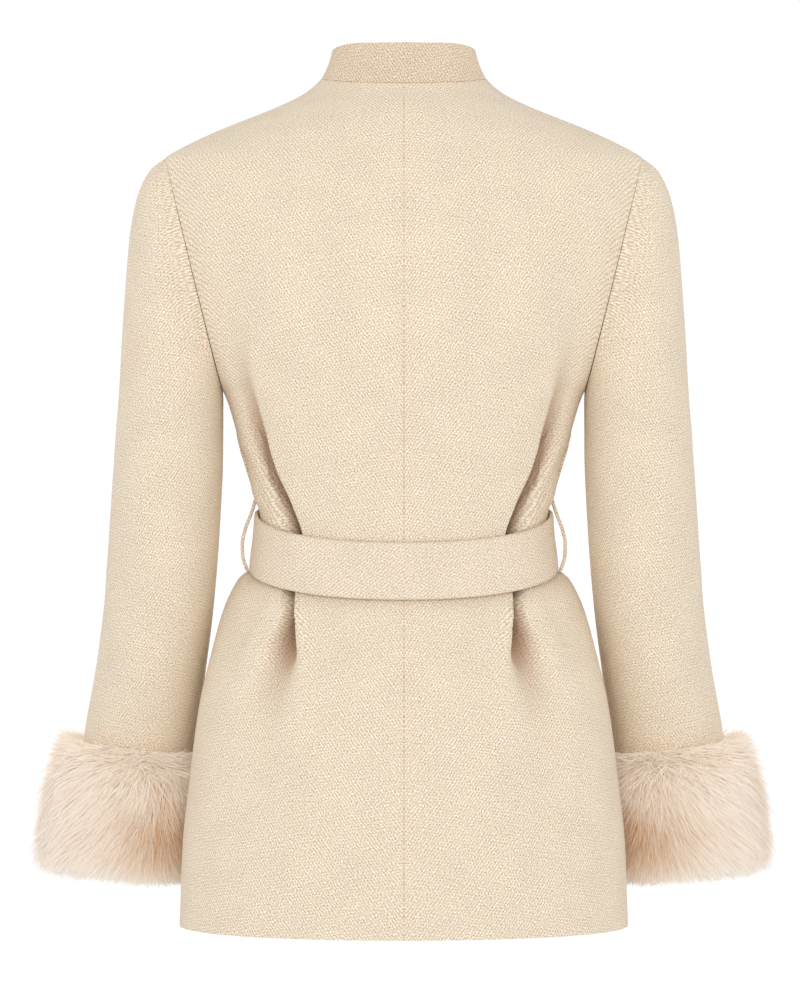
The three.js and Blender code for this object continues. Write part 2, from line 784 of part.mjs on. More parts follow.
// A belt loop: a narrow flat strip that bows out from the side seam, over the belt.
function beltLoop(side) {
  const outer = [];
  const inner = [];
  for (let i = 0; i <= LOOP.steps; i += 1) {
    const height = LOOP.top + ((LOOP.bottom - LOOP.top) * i) / LOOP.steps;
    const x = Math.max(LOOP_INSIDE(height).x, BODY(height).halfWidth + SEAM_GAP);
    const across = [-LOOP.width / 2, LOOP.width / 2];
    outer.push(across.map((y) => new THREE.Vector3(side * (x + LOOP.thickness), y, height)));
    inner.push(across.map((y) => new THREE.Vector3(side * x, y, height)));
  }
  return wall(outer, inner);
}

const coat = new THREE.Group();
const back = backPanel();
const frontUnder = frontPanel(UNDERLAP.depth);
const frontOver = frontPanel(0);
const arm = sleeve();

coat.add(mesh("back_left", wall(back.outer, back.inner), MATERIALS.cloth));
coat.add(mesh("back_right", wall(mirrored(back.outer), mirrored(back.inner)), MATERIALS.cloth));
coat.add(mesh("front_left", wall(frontUnder.outer, frontUnder.inner), MATERIALS.cloth));
coat.add(mesh("front_right", wall(mirrored(frontOver.outer), mirrored(frontOver.inner)), MATERIALS.cloth));
coat.add(mesh("sleeve_left", wall(arm.outer, arm.inner, true), MATERIALS.cloth));
coat.add(mesh("sleeve_right", wall(mirrored(arm.outer), mirrored(arm.inner), true), MATERIALS.cloth));
coat.add(mesh("collar", collar(), MATERIALS.collar));
coat.add(mesh("belt", belt(), MATERIALS.belt));
coat.add(mesh("belt_knot", knot(), MATERIALS.belt));
BELT_ENDS.forEach((end) => coat.add(mesh(end.name, beltEnd(end), MATERIALS.belt)));
["left", "right"].forEach((name) => {
  const side = name === "left" ? 1 : -1;
  coat.add(mesh(`belt_loop_${name}`, beltLoop(side), MATERIALS.belt));
  const fur = furCuff();
  if (side < 0) {
    const place = fur.getAttribute("position").array;
    const flipped = Array.from(place, (value, i) => (i % 3 === 0 ? -value : value));
    coat.add(mesh(`fur_cuff_${name}`, solid(flipped, Array.from(fur.getIndex().array)), MATERIALS.fur));
  } else {
    coat.add(mesh(`fur_cuff_${name}`, fur, MATERIALS.fur));
  }
});

export default coat;
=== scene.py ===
"""Looks of a short belted wool coat with a stand collar and fur cuffs, filled out as worn.

Metres, +Z up. The back faces +Y, the front -Y, and the wearer's left arm is at +X. A place on the
body is given by its height at the side seam, its half (back or front) and its reach, the distance
along the cloth from the middle of that half.
"""

import logging
import math
from dataclasses import dataclass
from enum import Enum
from functools import cached_property, lru_cache

import bpy
import numpy as np
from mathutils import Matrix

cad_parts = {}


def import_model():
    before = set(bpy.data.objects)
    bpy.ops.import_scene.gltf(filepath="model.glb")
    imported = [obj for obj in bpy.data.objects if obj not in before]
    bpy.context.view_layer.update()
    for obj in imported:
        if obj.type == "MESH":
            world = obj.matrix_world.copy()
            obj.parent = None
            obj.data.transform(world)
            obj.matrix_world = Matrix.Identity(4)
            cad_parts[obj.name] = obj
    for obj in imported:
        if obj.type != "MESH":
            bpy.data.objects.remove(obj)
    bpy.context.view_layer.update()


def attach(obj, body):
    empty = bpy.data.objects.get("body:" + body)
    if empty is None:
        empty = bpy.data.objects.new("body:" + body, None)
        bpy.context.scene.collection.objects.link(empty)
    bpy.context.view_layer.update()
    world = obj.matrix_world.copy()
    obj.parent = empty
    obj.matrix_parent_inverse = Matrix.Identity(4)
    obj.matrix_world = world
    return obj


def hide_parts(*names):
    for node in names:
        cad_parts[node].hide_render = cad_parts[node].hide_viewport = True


Array = np.ndarray
Colour = tuple[int, int, int]
Pair = tuple[float, float]
Place = tuple[float, float, float]
LOG = logging.getLogger("coat")

# Driving heights, at the side seams
HEM = -0.728
WAIST = -0.397
UNDERARM = -0.269
SHOULDER = -0.065
COLLAR_END = -0.025
NECK = 0.004

# Heights of the painted shadow that the belt's lower edge casts on the cloth, darkest at the middle one
BELT_SHADOW_HEIGHTS = (-0.4140, -0.4205, -0.4235)

# Cloth and seams
CLOTH = 0.0025
BELT_CLOTH = 0.0046
SEAM_GAP = 0.00004
EASE = 0.0005


class Named(Enum):
    """A choice whose name is part of the pieces' names."""

    @property
    def word(self) -> str:
        """The choice's name as a word."""
        return self.name.lower()


class Half(Named):
    """A half of the body, as the sign of its y."""

    BACK = 1
    FRONT = -1


class Side(Named):
    """The wearer's side, as the sign of its x."""

    LEFT = 1
    RIGHT = -1


@dataclass(frozen=True)
class Table:
    """Sizes read at any value of the first column, along curves that never overshoot the rows."""

    columns: tuple[str, ...]
    rows: tuple[tuple[float, ...], ...]

    @cached_property
    def curves(self) -> tuple[Array, Array, Array]:
        """The rows as arrays, sorted by the first column.

        Returns:
            The first column, the other columns and their slopes.
        """
        rows = np.array(sorted(self.rows), float)
        at, values = rows[:, 0], rows[:, 1:]
        steps = np.diff(values, axis=0) / np.diff(at)[:, None]
        before = np.vstack([steps[:1], steps])
        after = np.vstack([steps, steps[-1:]])
        same = before * after > 0
        slopes = np.where(same, 2 * before * after / np.where(same, before + after, 1), 0)
        return at, values, slopes

    def read(self, column: str, value: float | Array) -> float | Array:
        """Reads one column.

        Args:
            column: the column's name.
            value: one or more values of the first column.

        Returns:
            The column there, in the shape of value.
        """
        at, values, slopes = self.curves
        c = self.columns.index(column) - 1
        v = np.clip(value, at[0], at[-1])
        i = np.clip(np.searchsorted(at, v, side="right") - 1, 0, len(at) - 2)
        span = at[i + 1] - at[i]
        t = (v - at[i]) / span
        ease = t * t * (3 - 2 * t)
        bend = span * t * (1 - t) * (slopes[i, c] * (1 - t) - slopes[i + 1, c] * t)
        return values[i, c] + (values[i + 1, c] - values[i, c]) * ease + bend


def smooth_step(value: float | Array, start: float, end: float) -> float | Array:
    """0 before start, 1 after end, and smooth between them."""
    t = np.clip((value - start) / (end - start), 0, 1)
    return t * t * (3 - 2 * t)


def graded(stops: tuple[tuple[float, int], ...]) -> Array:
    """Numbers in even steps between stops.

    Args:
        stops: pairs of a number and the steps from it to the next one; the last has none.

    Returns:
        The numbers, the first and last stops among them.
    """
    parts = [np.linspace(a, b, n, endpoint=False) for (a, n), (b, _) in zip(stops, stops[1:])]
    return np.concatenate([*parts, [stops[-1][0]]])


def unit(vectors: Array) -> Array:
    """The vectors at length 1."""
    return vectors / np.maximum(np.linalg.norm(vectors, axis=-1, keepdims=True), 1e-12)


# Armhole: a flat oval that leans out from the underarm to the shoulder
ARMHOLE_TOP_X = 0.207
ARMHOLE_LOW_X = 0.157
ARMHOLE_HALF_DEPTH = 0.056
ARMHOLE_ROUNDNESS = 2.5

# The body with no folds in it. back and front are the depths of the middles from the side line.
BODY = Table(
    ("height", "half_width", "back", "front", "roundness"),
    (
        (HEM, 0.195, 0.142, 0.138, 2.15),
        (-0.660, 0.192, 0.139, 0.136, 2.15),
        (-0.600, 0.1855, 0.134, 0.132, 2.15),
        (-0.537, 0.177, 0.126, 0.126, 2.15),
        (-0.493, 0.167, 0.117, 0.119, 2.2),
        (-0.458, 0.157, 0.106, 0.111, 2.2),
        (-0.441, 0.1495, 0.099, 0.107, 2.2),
        (-0.430, 0.1425, 0.094, 0.104, 2.2),
        (-0.422, 0.1298, 0.088, 0.0995, 2.2),
        (-0.406, 0.1279, 0.087, 0.0985, 2.2),
        (WAIST, 0.1266, 0.0865, 0.098, 2.2),
        (-0.385, 0.1256, 0.0865, 0.098, 2.2),
        (-0.373, 0.1252, 0.087, 0.099, 2.2),
        (-0.354, 0.1305, 0.090, 0.104, 2.2),
        (-0.319, 0.141, 0.095, 0.116, 2.25),
        (UNDERARM, 0.157, 0.104, 0.129, 2.3),
        (-0.200, 0.200, 0.112, 0.128, 2.3),
        (-0.150, 0.226, 0.112, 0.117, 2.3),
        (-0.100, 0.230, 0.104, 0.099, 2.2),
        (-0.076, 0.219, 0.097, 0.088, 2.15),
        (SHOULDER, 0.207, 0.093, 0.083, 2.1),
        (-0.058, 0.1955, 0.0905, 0.0805, 2.05),
        (-0.041, 0.160, 0.083, 0.073, 2),
        (-0.0305, 0.1335, 0.077, 0.067, 2),
        (-0.020, 0.108, 0.0695, 0.061, 2),
        (-0.010, 0.088, 0.061, 0.054, 2),
        (-0.004, 0.080, 0.056, 0.0495, 2),
        (NECK, 0.0715, 0.051, 0.044, 2),
    ),
)

# The belt pulls the waist down at the middle of the back: fall for each unit of depth.
WAIST_TILT = Table(
    ("height", "back", "front"),
    (
        (-0.600, 0, 0), (-0.520, 0.1, 0.03), (-0.422, 0.3, 0.12), (-0.373, 0.3, 0.12),
        (-0.320, 0.17, 0.06), (UNDERARM, 0, 0),
    ),
)
# The neck seam is lower at the nape than on the shoulders.
NAPE_DROP = Table(("height", "drop"), ((-0.060, 0), (-0.020, 0.0035), (NECK, 0.008)))

# Folds that the belt gathers. inner and outer are where a fold begins and ends, as x; floor is the share
# of the way between them where it is deepest, and depth how far it is pressed in. lip is how far the
# cloth nearer to the middle hangs over it, and roll how far the cloth on its outer side does.
BACK_FOLD = Table(
    ("height", "inner", "outer", "floor", "depth", "lip", "roll"),
    (
        (-0.700, 0.1010, 0.1790, 0.45, 0, 0, 0),
        (-0.606, 0.0990, 0.1760, 0.40, 0.0025, 0, 0),
        (-0.530, 0.0900, 0.1620, 0.33, 0.0065, 0, 0),
        (-0.500, 0.0820, 0.1450, 0.42, 0.0110, 0.0015, 0),
        (-0.4765, 0.0790, 0.1310, 0.46, 0.0205, 0.0030, 0),
        (-0.4525, 0.0800, 0.1165, 0.51, 0.0345, 0.0050, 0),
        (-0.4405, 0.0825, 0.1095, 0.51, 0.0370, 0.0055, 0),
        (-0.4285, 0.0860, 0.1060, 0.51, 0.0340, 0.0048, 0),
        (WAIST, 0.0870, 0.1100, 0.45, 0.0310, 0.0010, 0.0040),
        (-0.376, 0.0860, 0.1145, 0.44, 0.0330, 0, 0.0090),
        (-0.3495, 0.0950, 0.1270, 0.46, 0.0310, 0, 0.0105),
        (-0.326, 0.1080, 0.1395, 0.46, 0.0260, 0, 0.0102),
        (-0.300, 0.1175, 0.1480, 0.46, 0.0180, 0, 0.0080),
        (-0.272, 0.1250, 0.1550, 0.46, 0.0105, 0, 0.0048),
        (-0.235, 0.1310, 0.1620, 0.48, 0.0038, 0, 0.0016),
        (-0.195, 0.1340, 0.1660, 0.5, 0, 0, 0),
    ),
)
FRONT_FOLD = Table(
    ("height", "inner", "outer", "floor", "depth", "lip", "roll"),
    (
        (-0.680, 0.102, 0.165, 0.45, 0, 0, 0),
        (-0.540, 0.103, 0.150, 0.40, 0.0050, 0, 0),
        (-0.455, 0.100, 0.129, 0.38, 0.0105, 0.0010, 0),
        (-0.422, 0.096, 0.117, 0.45, 0.0125, 0.0010, 0.0010),
        (-0.373, 0.095, 0.116, 0.50, 0.0125, 0, 0.0030),
        (-0.340, 0.099, 0.128, 0.52, 0.0085, 0, 0.0030),
        (-0.262, 0.112, 0.150, 0.5, 0, 0, 0),
    ),
)
# How much lower the hem hangs than the solids' edge, at the sides and at the middles
HEM_DROP = Table(
    ("height", "side", "middle"),
    (
        (HEM, 0.0040, 0.0062), (-0.660, 0.002, 0.003), (-0.560, 0, 0),
    ),
)

# Inner edge of a front: the neck seam, the slanted neckline, then the wrapped edge down to the hem.
FRONT_EDGE = Table(
    ("height", "x"),
    (
        (HEM, -0.086), (-0.560, -0.084), (-0.430, -0.080), (-0.397, -0.074), (-0.340, -0.054),
        (-0.270, -0.025), (-0.200, 0.002), (-0.120, 0.029), (-0.060, 0.046),
        (COLLAR_END, 0.054), (-0.008, 0.062), (NECK, 0.069),
    ),
)
# The left front lies under the right one: how deep, and over which x and heights it comes back out.
UNDERLAP_DEPTH = CLOTH + EASE + 0.0008
UNDERLAP_X = (0.102, 0.130)
UNDERLAP_FADE = (-0.150, -0.060)

# The armhole cuts the sections short, so the columns of a panel keep to these lengths beside it, and
# only those nearest to the edge draw in to meet it.
EVEN_FROM = -0.316
EVEN_DRAWN_IN = 8
EVEN_LENGTH = Table(
    ("height", "back", "front"),
    (
        (EVEN_FROM, 0.1923, 0.2083), (-0.293, 0.199, 0.216), (UNDERARM, 0.203, 0.219),
        (-0.238, 0.204, 0.2185), (-0.178, 0.206, 0.215), (-0.115, 0.211, 0.2135),
        (-0.078, 0.216, 0.214), (SHOULDER, 0.216, 0.213), (-0.052, 0.207, 0.203),
        (-0.038, 0.184, 0.179), (COLLAR_END, 0.1538, 0.1476),
    ),
)


@dataclass(frozen=True)
class Section:
    """Half a level section of the body, from its middle to its side edge."""

    x: Array
    y: Array
    out_x: Array
    out_y: Array
    along: Array
    depth: float

    @property
    def length(self) -> float:
        """The length of cloth along the half section."""
        return float(self.along[-1])


class BodyForm:
    """The form of the coat's body, as points at a height, a half and a reach."""

    ARC_STEPS = 240
    LIP_HOLD = 80  # the share of a fold's inner side that a lip keeps unpressed, for each metre of lip
    FLOOR_END = 0.8  # the share of a fold's outer side over which it comes back out
    LIP_POWER = 0.75  # under 1, so that a lip hangs out furthest near the fold's inner edge
    ROLL_POWER = 1.3  # over 1, so that a roll does so near the outer edge

    @staticmethod
    def side_edge(height: float) -> Pair:
        """The side edge of a section: the side seam, armhole or shoulder seam.

        Args:
            height: the height at the side seam.

        Returns:
            The edge's x, and its depth from the side line.
        """
        if height <= UNDERARM or height >= SHOULDER:
            return float(BODY.read("half_width", height)), 0.0
        middle = (SHOULDER + UNDERARM) / 2
        up = (height - middle) / ((SHOULDER - UNDERARM) / 2)
        x = (ARMHOLE_TOP_X + ARMHOLE_LOW_X) / 2 + up * (ARMHOLE_TOP_X - ARMHOLE_LOW_X) / 2
        depth = ARMHOLE_HALF_DEPTH * (1 - abs(up) ** ARMHOLE_ROUNDNESS) ** (1 / ARMHOLE_ROUNDNESS)
        return x, depth

    @staticmethod
    @lru_cache(maxsize=None)
    def section(height: float, half: Half) -> Section:
        """Makes a half section, once for each height and half.

        Args:
            height: the height at the side seam.
            half: the back or the front.

        Returns:
            The section, with no folds in it.
        """
        depth = float(BODY.read(half.word, height))
        power = 2 / float(BODY.read("roundness", height))
        edge_x, edge_depth = BodyForm.side_edge(height)
        last = math.acos(min(edge_depth / depth, 1) ** (1 / power))
        width = edge_x / math.sin(last) ** power
        turn = last * np.arange(BodyForm.ARC_STEPS + 1) / BodyForm.ARC_STEPS
        x = width * np.sin(turn) ** power
        y = half.value * depth * np.maximum(np.cos(turn), 0) ** power
        y[-1] = half.value * edge_depth
        along = np.concatenate([[0], np.cumsum(np.hypot(np.diff(x), np.diff(y)))])
        slope_x, slope_y = np.gradient(x, along), np.gradient(y, along)
        out = unit(np.stack([-half.value * slope_y, half.value * slope_x], axis=-1))
        out[0] = (0, half.value)
        return Section(x, y, out[:, 0], out[:, 1], along, depth)

    @staticmethod
    def fold(height: float, half: Half, x: Array) -> tuple[Array, Array]:
        """The belt's fold.

        Args:
            height: the height at the side seam.
            half: the back or the front.
            x: the places on the section.

        Returns:
            How far the cloth is pressed in at each place, and how far it is moved to the side.
        """
        fold = BACK_FOLD if half is Half.BACK else FRONT_FOLD
        inner, outer, floor, depth, lip, roll = (fold.read(name, height) for name in fold.columns[1:])
        share = np.clip((x - inner) / (outer - inner), 0, 1)
        before = np.clip(share / floor, 0, 1)
        after = np.clip((share - floor) / (1 - floor), 0, 1)
        into = smooth_step(before, BodyForm.LIP_HOLD * lip, 1)
        pressed = depth * into * (1 - smooth_step(after, 0, BodyForm.FLOOR_END))
        hung = lip * np.sin(math.pi * before**BodyForm.LIP_POWER) ** 2
        rolled = roll * np.sin(math.pi * after**BodyForm.ROLL_POWER) ** 2
        return pressed, hung - rolled

    @staticmethod
    def points(
        height: float, half: Half, reach: Array, lift: float | Array = 0.0, folded: bool = True
    ) -> Array:
        """Points of the cloth's outer face.

        Args:
            height: the height at the side seam.
            half: the back or the front.
            reach: distances along the cloth from the middle of the half.
            lift: how far the points are moved out of the face.
            folded: whether the belt's folds are pressed in.

        Returns:
            One point for each reach.
        """
        s = BodyForm.section(height, half)
        reach = np.atleast_1d(np.asarray(reach, float))
        side = np.where(reach < 0, -1.0, 1.0)
        along = np.minimum(np.abs(reach), s.length)
        x, y = np.interp(along, s.along, s.x), np.interp(along, s.along, s.y)
        out = unit(np.stack([np.interp(along, s.along, n) for n in (s.out_x, s.out_y)], axis=-1))
        pressed, moved = BodyForm.fold(height, half, x) if folded else (0, 0)
        off = lift - pressed
        if half is Half.BACK:
            tilt = -WAIST_TILT.read("back", height)
            drop = NAPE_DROP.read("drop", height)
        else:
            tilt = WAIST_TILT.read("front", height)
            drop = 0
        middle = np.abs(y) / s.depth
        z = height + tilt * np.abs(y) - drop * middle
        z = z - HEM_DROP.read("side", height) * (1 - middle) - HEM_DROP.read("middle", height) * middle
        new_x = x + out[:, 0] * off + half.value * out[:, 1] * moved
        new_y = y + out[:, 1] * off - half.value * out[:, 0] * moved
        return np.stack([side * new_x, new_y, z], axis=-1)

    @staticmethod
    def reach_at(height: float, half: Half, x: float) -> float:
        """How far along the section a given x lies."""
        s = BodyForm.section(height, half)
        return math.copysign(float(np.interp(abs(x), s.x, s.along)), x)

    @staticmethod
    def column_reach(height: float, half: Half, first: float, last: float, share: Array) -> Array:
        """Spreads a panel's columns over one of its rows.

        Args:
            height: the height at the side seam.
            half: the back or the front.
            first: the reach of the panel's inner edge.
            last: the reach of its side edge.
            share: each column's place, from 0 at the inner edge to 1 at the side edge.

        Returns:
            The reach of each column.
        """
        even = last
        if EVEN_FROM < height < COLLAR_END:
            even = EVEN_LENGTH.read(half.word, height)
        return first + (even - first) * share + (last - even) * share**EVEN_DRAWN_IN


# Sleeve outline, seen from the back, and its rings. A ring goes from its outer to its inner height.
SLEEVE_OUTSIDE = Table(
    ("height", "x"),
    (
        (-0.704, 0.296), (-0.632, 0.289), (-0.563, 0.281), (-0.493, 0.269), (-0.424, 0.260),
        (-0.354, 0.2545), (-0.284, 0.2495), (-0.215, 0.2455), (-0.145, 0.2395),
        (-0.110, 0.2345), (-0.093, 0.2295), (-0.076, 0.2205), (SHOULDER, 0.207),
    ),
)
SLEEVE_INSIDE = Table(
    ("height", "x"),
    (
        (-0.712, 0.193), (-0.640, 0.187), (-0.575, 0.181), (-0.528, 0.176), (-0.458, 0.1666),
        (-0.389, 0.1605), (-0.319, 0.1572), (UNDERARM, 0.157),
    ),
)
SLEEVE = Table(
    ("outer_height", "inner_height", "half_depth", "y", "roundness"),
    (
        (-0.704, -0.712, 0.068, -0.099, 2.15),
        (-0.632, -0.642, 0.066, -0.088, 2.15),
        (-0.560, -0.571, 0.064, -0.067, 2.15),
        (-0.490, -0.504, 0.0635, -0.044, 2.15),
        (-0.430, -0.451, 0.064, -0.027, 2.15),
        (-0.370, -0.401, 0.065, -0.014, 2.15),
        (-0.300, -0.356, 0.066, -0.007, 2.15),
        (-0.230, -0.322, 0.0655, -0.003, 2.2),
        (-0.155, -0.294, 0.063, -0.001, 2.3),
        (-0.104, -0.280, 0.060, 0, 2.4),
        (-0.076, -0.2725, 0.0575, 0, 2.47),
        (SHOULDER, UNDERARM, ARMHOLE_HALF_DEPTH, 0, ARMHOLE_ROUNDNESS),
    ),
)
SLEEVE_END = -0.684


class ArmForm:
    """The form of the left sleeve: turn 0 is the arm's outer side, 90 its back, 180 its inner side."""

    @staticmethod
    def points(height: float | Array, turn: Array, lift: float | Array = 0.0) -> Array:
        """Points of the sleeve's outer face.

        Args:
            height: the outer height of the ring.
            turn: the turns round the arm, in degrees.
            lift: how far the points are moved out of the face.

        Returns:
            One point for each turn.
        """
        inner_height = SLEEVE.read("inner_height", height)
        top_x, low_x = SLEEVE_OUTSIDE.read("x", height), SLEEVE_INSIDE.read("x", inner_height)
        half_x, half_z = (top_x - low_x) / 2, (height - inner_height) / 2
        power = 2 / SLEEVE.read("roundness", height)
        angle = np.radians(turn)
        cos = np.sign(np.cos(angle)) * np.abs(np.cos(angle)) ** power
        sin = np.sign(np.sin(angle)) * np.abs(np.sin(angle)) ** power
        grow = 1 + lift / np.hypot(half_x, half_z)
        x = (top_x + low_x) / 2 + half_x * cos * grow
        y = SLEEVE.read("y", height) + (SLEEVE.read("half_depth", height) + lift) * sin
        z = (height + inner_height) / 2 + half_z * cos * grow
        return np.stack([x, y, z + 0 * y], axis=-1)


ARMHOLE_OUT = unit(np.array([SHOULDER - UNDERARM, 0, ARMHOLE_LOW_X - ARMHOLE_TOP_X]))


@dataclass(frozen=True)
class Crease:
    """A soft ridge or trough along a line on the outside of a piece, seen from the back or the front."""

    start: Pair  # x and z
    end: Pair
    width: float
    height: float  # a ridge stands out, and a trough has a height under 0

    def relief(self, x: Array, z: Array) -> Array:
        """The crease's own shape.

        Args:
            x: places across the piece.
            z: their heights.

        Returns:
            How far the crease moves the cloth out at each place.
        """
        a, b = np.array(self.start), np.array(self.end)
        line = b - a
        t = ((x - a[0]) * line[0] + (z - a[1]) * line[1]) / (line @ line)
        near = np.clip(t, 0, 1)
        away = np.hypot(x - a[0] - near * line[0], z - a[1] - near * line[1])
        swell = 1 - (2 * near - 1) ** 4
        return self.height * swell * np.exp(-((away / self.width) ** 2))


def relief(creases: tuple[Crease, ...], x: Array, z: Array) -> Array:
    """The sum of several creases."""
    return sum((c.relief(x, z) for c in creases), np.zeros_like(x))


class Bench:
    """What the pieces are made with: meshes from sheets and rings of points, and modifiers."""

    SHARP = 60  # the angle in degrees from which an edge is rounded

    @staticmethod
    def faces(rows: int, columns: int, closed_across: bool, closed_up: bool) -> tuple[Array, Array]:
        """The faces of a grid of points, and of its grid of UV places, which never closes.

        Args:
            rows: the rows of points.
            columns: the columns of points.
            closed_across: whether the last column joins the first.
            closed_up: whether the last row joins the first.

        Returns:
            Four point numbers for each face, and four UV place numbers.
        """
        up = rows if closed_up else rows - 1
        across = columns if closed_across else columns - 1
        r, c = np.meshgrid(np.arange(up), np.arange(across), indexing="ij")
        steps = ((0, 0), (0, 1), (1, 1), (1, 0))
        corners = [((r + i) % rows) * columns + (c + j) % columns for i, j in steps]
        places = [(r + i) * (across + 1) + (c + j) for i, j in steps]
        return np.stack(corners, axis=-1).reshape(-1, 4), np.stack(places, axis=-1).reshape(-1, 4)

    @staticmethod
    def sheet(
        name: str, points: Array, uv: Array, closed_across: bool = False, closed_up: bool = False
    ) -> bpy.types.Object:
        """A mesh object from a grid of points, with its faces pointing away from its middle line.

        Args:
            name: the piece's name.
            points: rows by columns of points.
            uv: the cloth's own measure at each point, with one more column or row where it closes.
            closed_across: whether the last column joins the first.
            closed_up: whether the last row joins the first.

        Returns:
            The new object, linked to the scene.
        """
        rows, columns = points.shape[:2]
        corners, places = Bench.faces(rows, columns, closed_across, closed_up)
        flat = points.reshape(-1, 3)
        if closed_across or closed_up:
            middle = points.mean(axis=0 if closed_up else 1, keepdims=True)
            away = (points - middle).reshape(-1, 3)
        else:
            away = flat * (1, 1, 0)
        a, b, _, d = (flat[corners[:, i]] for i in range(4))
        if (np.cross(b - a, d - a) * away[corners[:, 0]]).sum() < 0:
            corners, places = corners[:, ::-1], places[:, ::-1]
        mesh = bpy.data.meshes.new(name)
        mesh.from_pydata(flat.tolist(), [], corners.tolist())
        layer = mesh.uv_layers.new(name="UVMap")
        layer.data.foreach_set("uv", uv.reshape(-1, 2)[places.ravel()].astype(np.float32).ravel())
        thing = bpy.data.objects.new(name, mesh)
        bpy.context.scene.collection.objects.link(thing)
        return thing

    @staticmethod
    def ring(name: str, points: Array, uv: Array) -> bpy.types.Object:
        """A closed ring of closed profiles, smooth and facing out.

        Args:
            name: the piece's name.
            points: profiles by points.
            uv: the cloth's own measure at each point, with one more of both.

        Returns:
            The new object, linked to the scene.
        """
        piece = Bench.sheet(name, points, uv, closed_across=True, closed_up=True)
        Bench.face_out(piece)
        return piece

    @staticmethod
    def lay_map(thing: bpy.types.Object, name: str, places: Array) -> None:
        """Writes a UV map from a place for each point, and leaves the cloth's own map in use.

        Args:
            thing: the object.
            name: the map's name.
            places: u and v for each point.
        """
        layers = thing.data.uv_layers
        layer = layers.get(name) or layers.new(name=name)
        corners = [corner.vertex_index for corner in thing.data.loops]
        layer.data.foreach_set("uv", places.astype(np.float32)[corners].ravel())
        layers["UVMap"].active = True

    @staticmethod
    def pick(thing: bpy.types.Object) -> None:
        """Selects one object alone and makes it the active one.

        Args:
            thing: the object.
        """
        bpy.ops.object.select_all(action="DESELECT")
        thing.select_set(True)
        bpy.context.view_layer.objects.active = thing

    @staticmethod
    def modify(thing: bpy.types.Object, kind: str, **settings: object) -> None:
        """Adds a modifier and applies it.

        Args:
            thing: the object.
            kind: the modifier's type.
            settings: the values of its properties.
        """
        Bench.pick(thing)
        modifier = thing.modifiers.new(kind.lower(), kind)
        for key, value in settings.items():
            setattr(modifier, key, value)
        bpy.ops.object.modifier_apply(modifier=modifier.name)

    @staticmethod
    def thicken(thing: bpy.types.Object, thickness: float, edge: float, segments: int = 2) -> None:
        """Gives a sheet its thickness, inwards, and rounds its edges.

        Args:
            thing: the sheet.
            thickness: how thick it becomes.
            edge: the radius of its edges.
            segments: the steps of that radius.
        """
        Bench.modify(thing, "SOLIDIFY", thickness=thickness, offset=-1, use_quality_normals=True)
        Bench.modify(
            thing,
            "BEVEL",
            width=edge,
            segments=segments,
            limit_method="ANGLE",
            angle_limit=math.radians(Bench.SHARP),
            use_clamp_overlap=False,
        )
        Bench.smooth(thing)

    @staticmethod
    def smooth(thing: bpy.types.Object) -> None:
        """Shades the whole object smoothly."""
        Bench.pick(thing)
        bpy.ops.object.shade_smooth()

    @staticmethod
    def face_out(thing: bpy.types.Object) -> None:
        """Turns the faces of a closed object outwards and shades it smoothly.

        Args:
            thing: the object.
        """
        Bench.pick(thing)
        bpy.ops.object.mode_set(mode="EDIT")
        bpy.ops.mesh.select_all(action="SELECT")
        bpy.ops.mesh.normals_make_consistent(inside=False)
        bpy.ops.object.mode_set(mode="OBJECT")
        Bench.smooth(thing)

    @staticmethod
    def measure_sides(thing: bpy.types.Object) -> None:
        """Lays the UV map of a narrow upright strip along each face, its edges included.

        Args:
            thing: the strip.
        """
        mesh = thing.data
        layer = mesh.uv_layers["UVMap"]
        for face in mesh.polygons:
            x, y, _ = (abs(n) for n in face.normal)
            across = 0 if y > x else 1
            for corner in face.loop_indices:
                place = mesh.vertices[mesh.loops[corner].vertex_index].co
                layer.data[corner].uv = (place[across], place[2])

    @staticmethod
    def mirror(points: Array, side: Side) -> Array:
        """Points made for the wearer's left side, on the given side."""
        return points * (side.value, 1, 1)


def grid_normals(points: Array, outward: Array) -> Array:
    """The normals of a grid of points.

    Args:
        points: rows by columns of points.
        outward: a direction at each point, on the side that its normal is to point to.

    Returns:
        One normal for each point.
    """
    across = np.gradient(points, axis=1)
    up = np.gradient(points, axis=0)
    normals = unit(np.cross(across, up))
    return normals * np.sign((normals * outward).sum(axis=-1, keepdims=True))


def running_length(points: Array, axis: int) -> Array:
    """The distance run along each row or column of a grid of points.

    Args:
        points: rows by columns of points.
        axis: 0 to run up the columns, 1 to run along the rows.

    Returns:
        One distance for each point, 0 at the start.
    """
    steps = np.linalg.norm(np.diff(points, axis=axis), axis=-1)
    start = np.zeros_like(np.take(steps, [0], axis=axis))
    return np.concatenate([start, np.cumsum(steps, axis=axis)], axis=axis)


def linear(colour: Colour) -> tuple[float, float, float, float]:
    """A colour of 0 to 255 as the renderer's own values.

    Args:
        colour: red, green and blue.

    Returns:
        Red, green, blue and 1.
    """
    shares = [c / 255 for c in colour]
    curve = [c / 12.92 if c <= 0.04045 else ((c + 0.055) / 1.055) ** 2.4 for c in shares]
    return (*curve, 1.0)


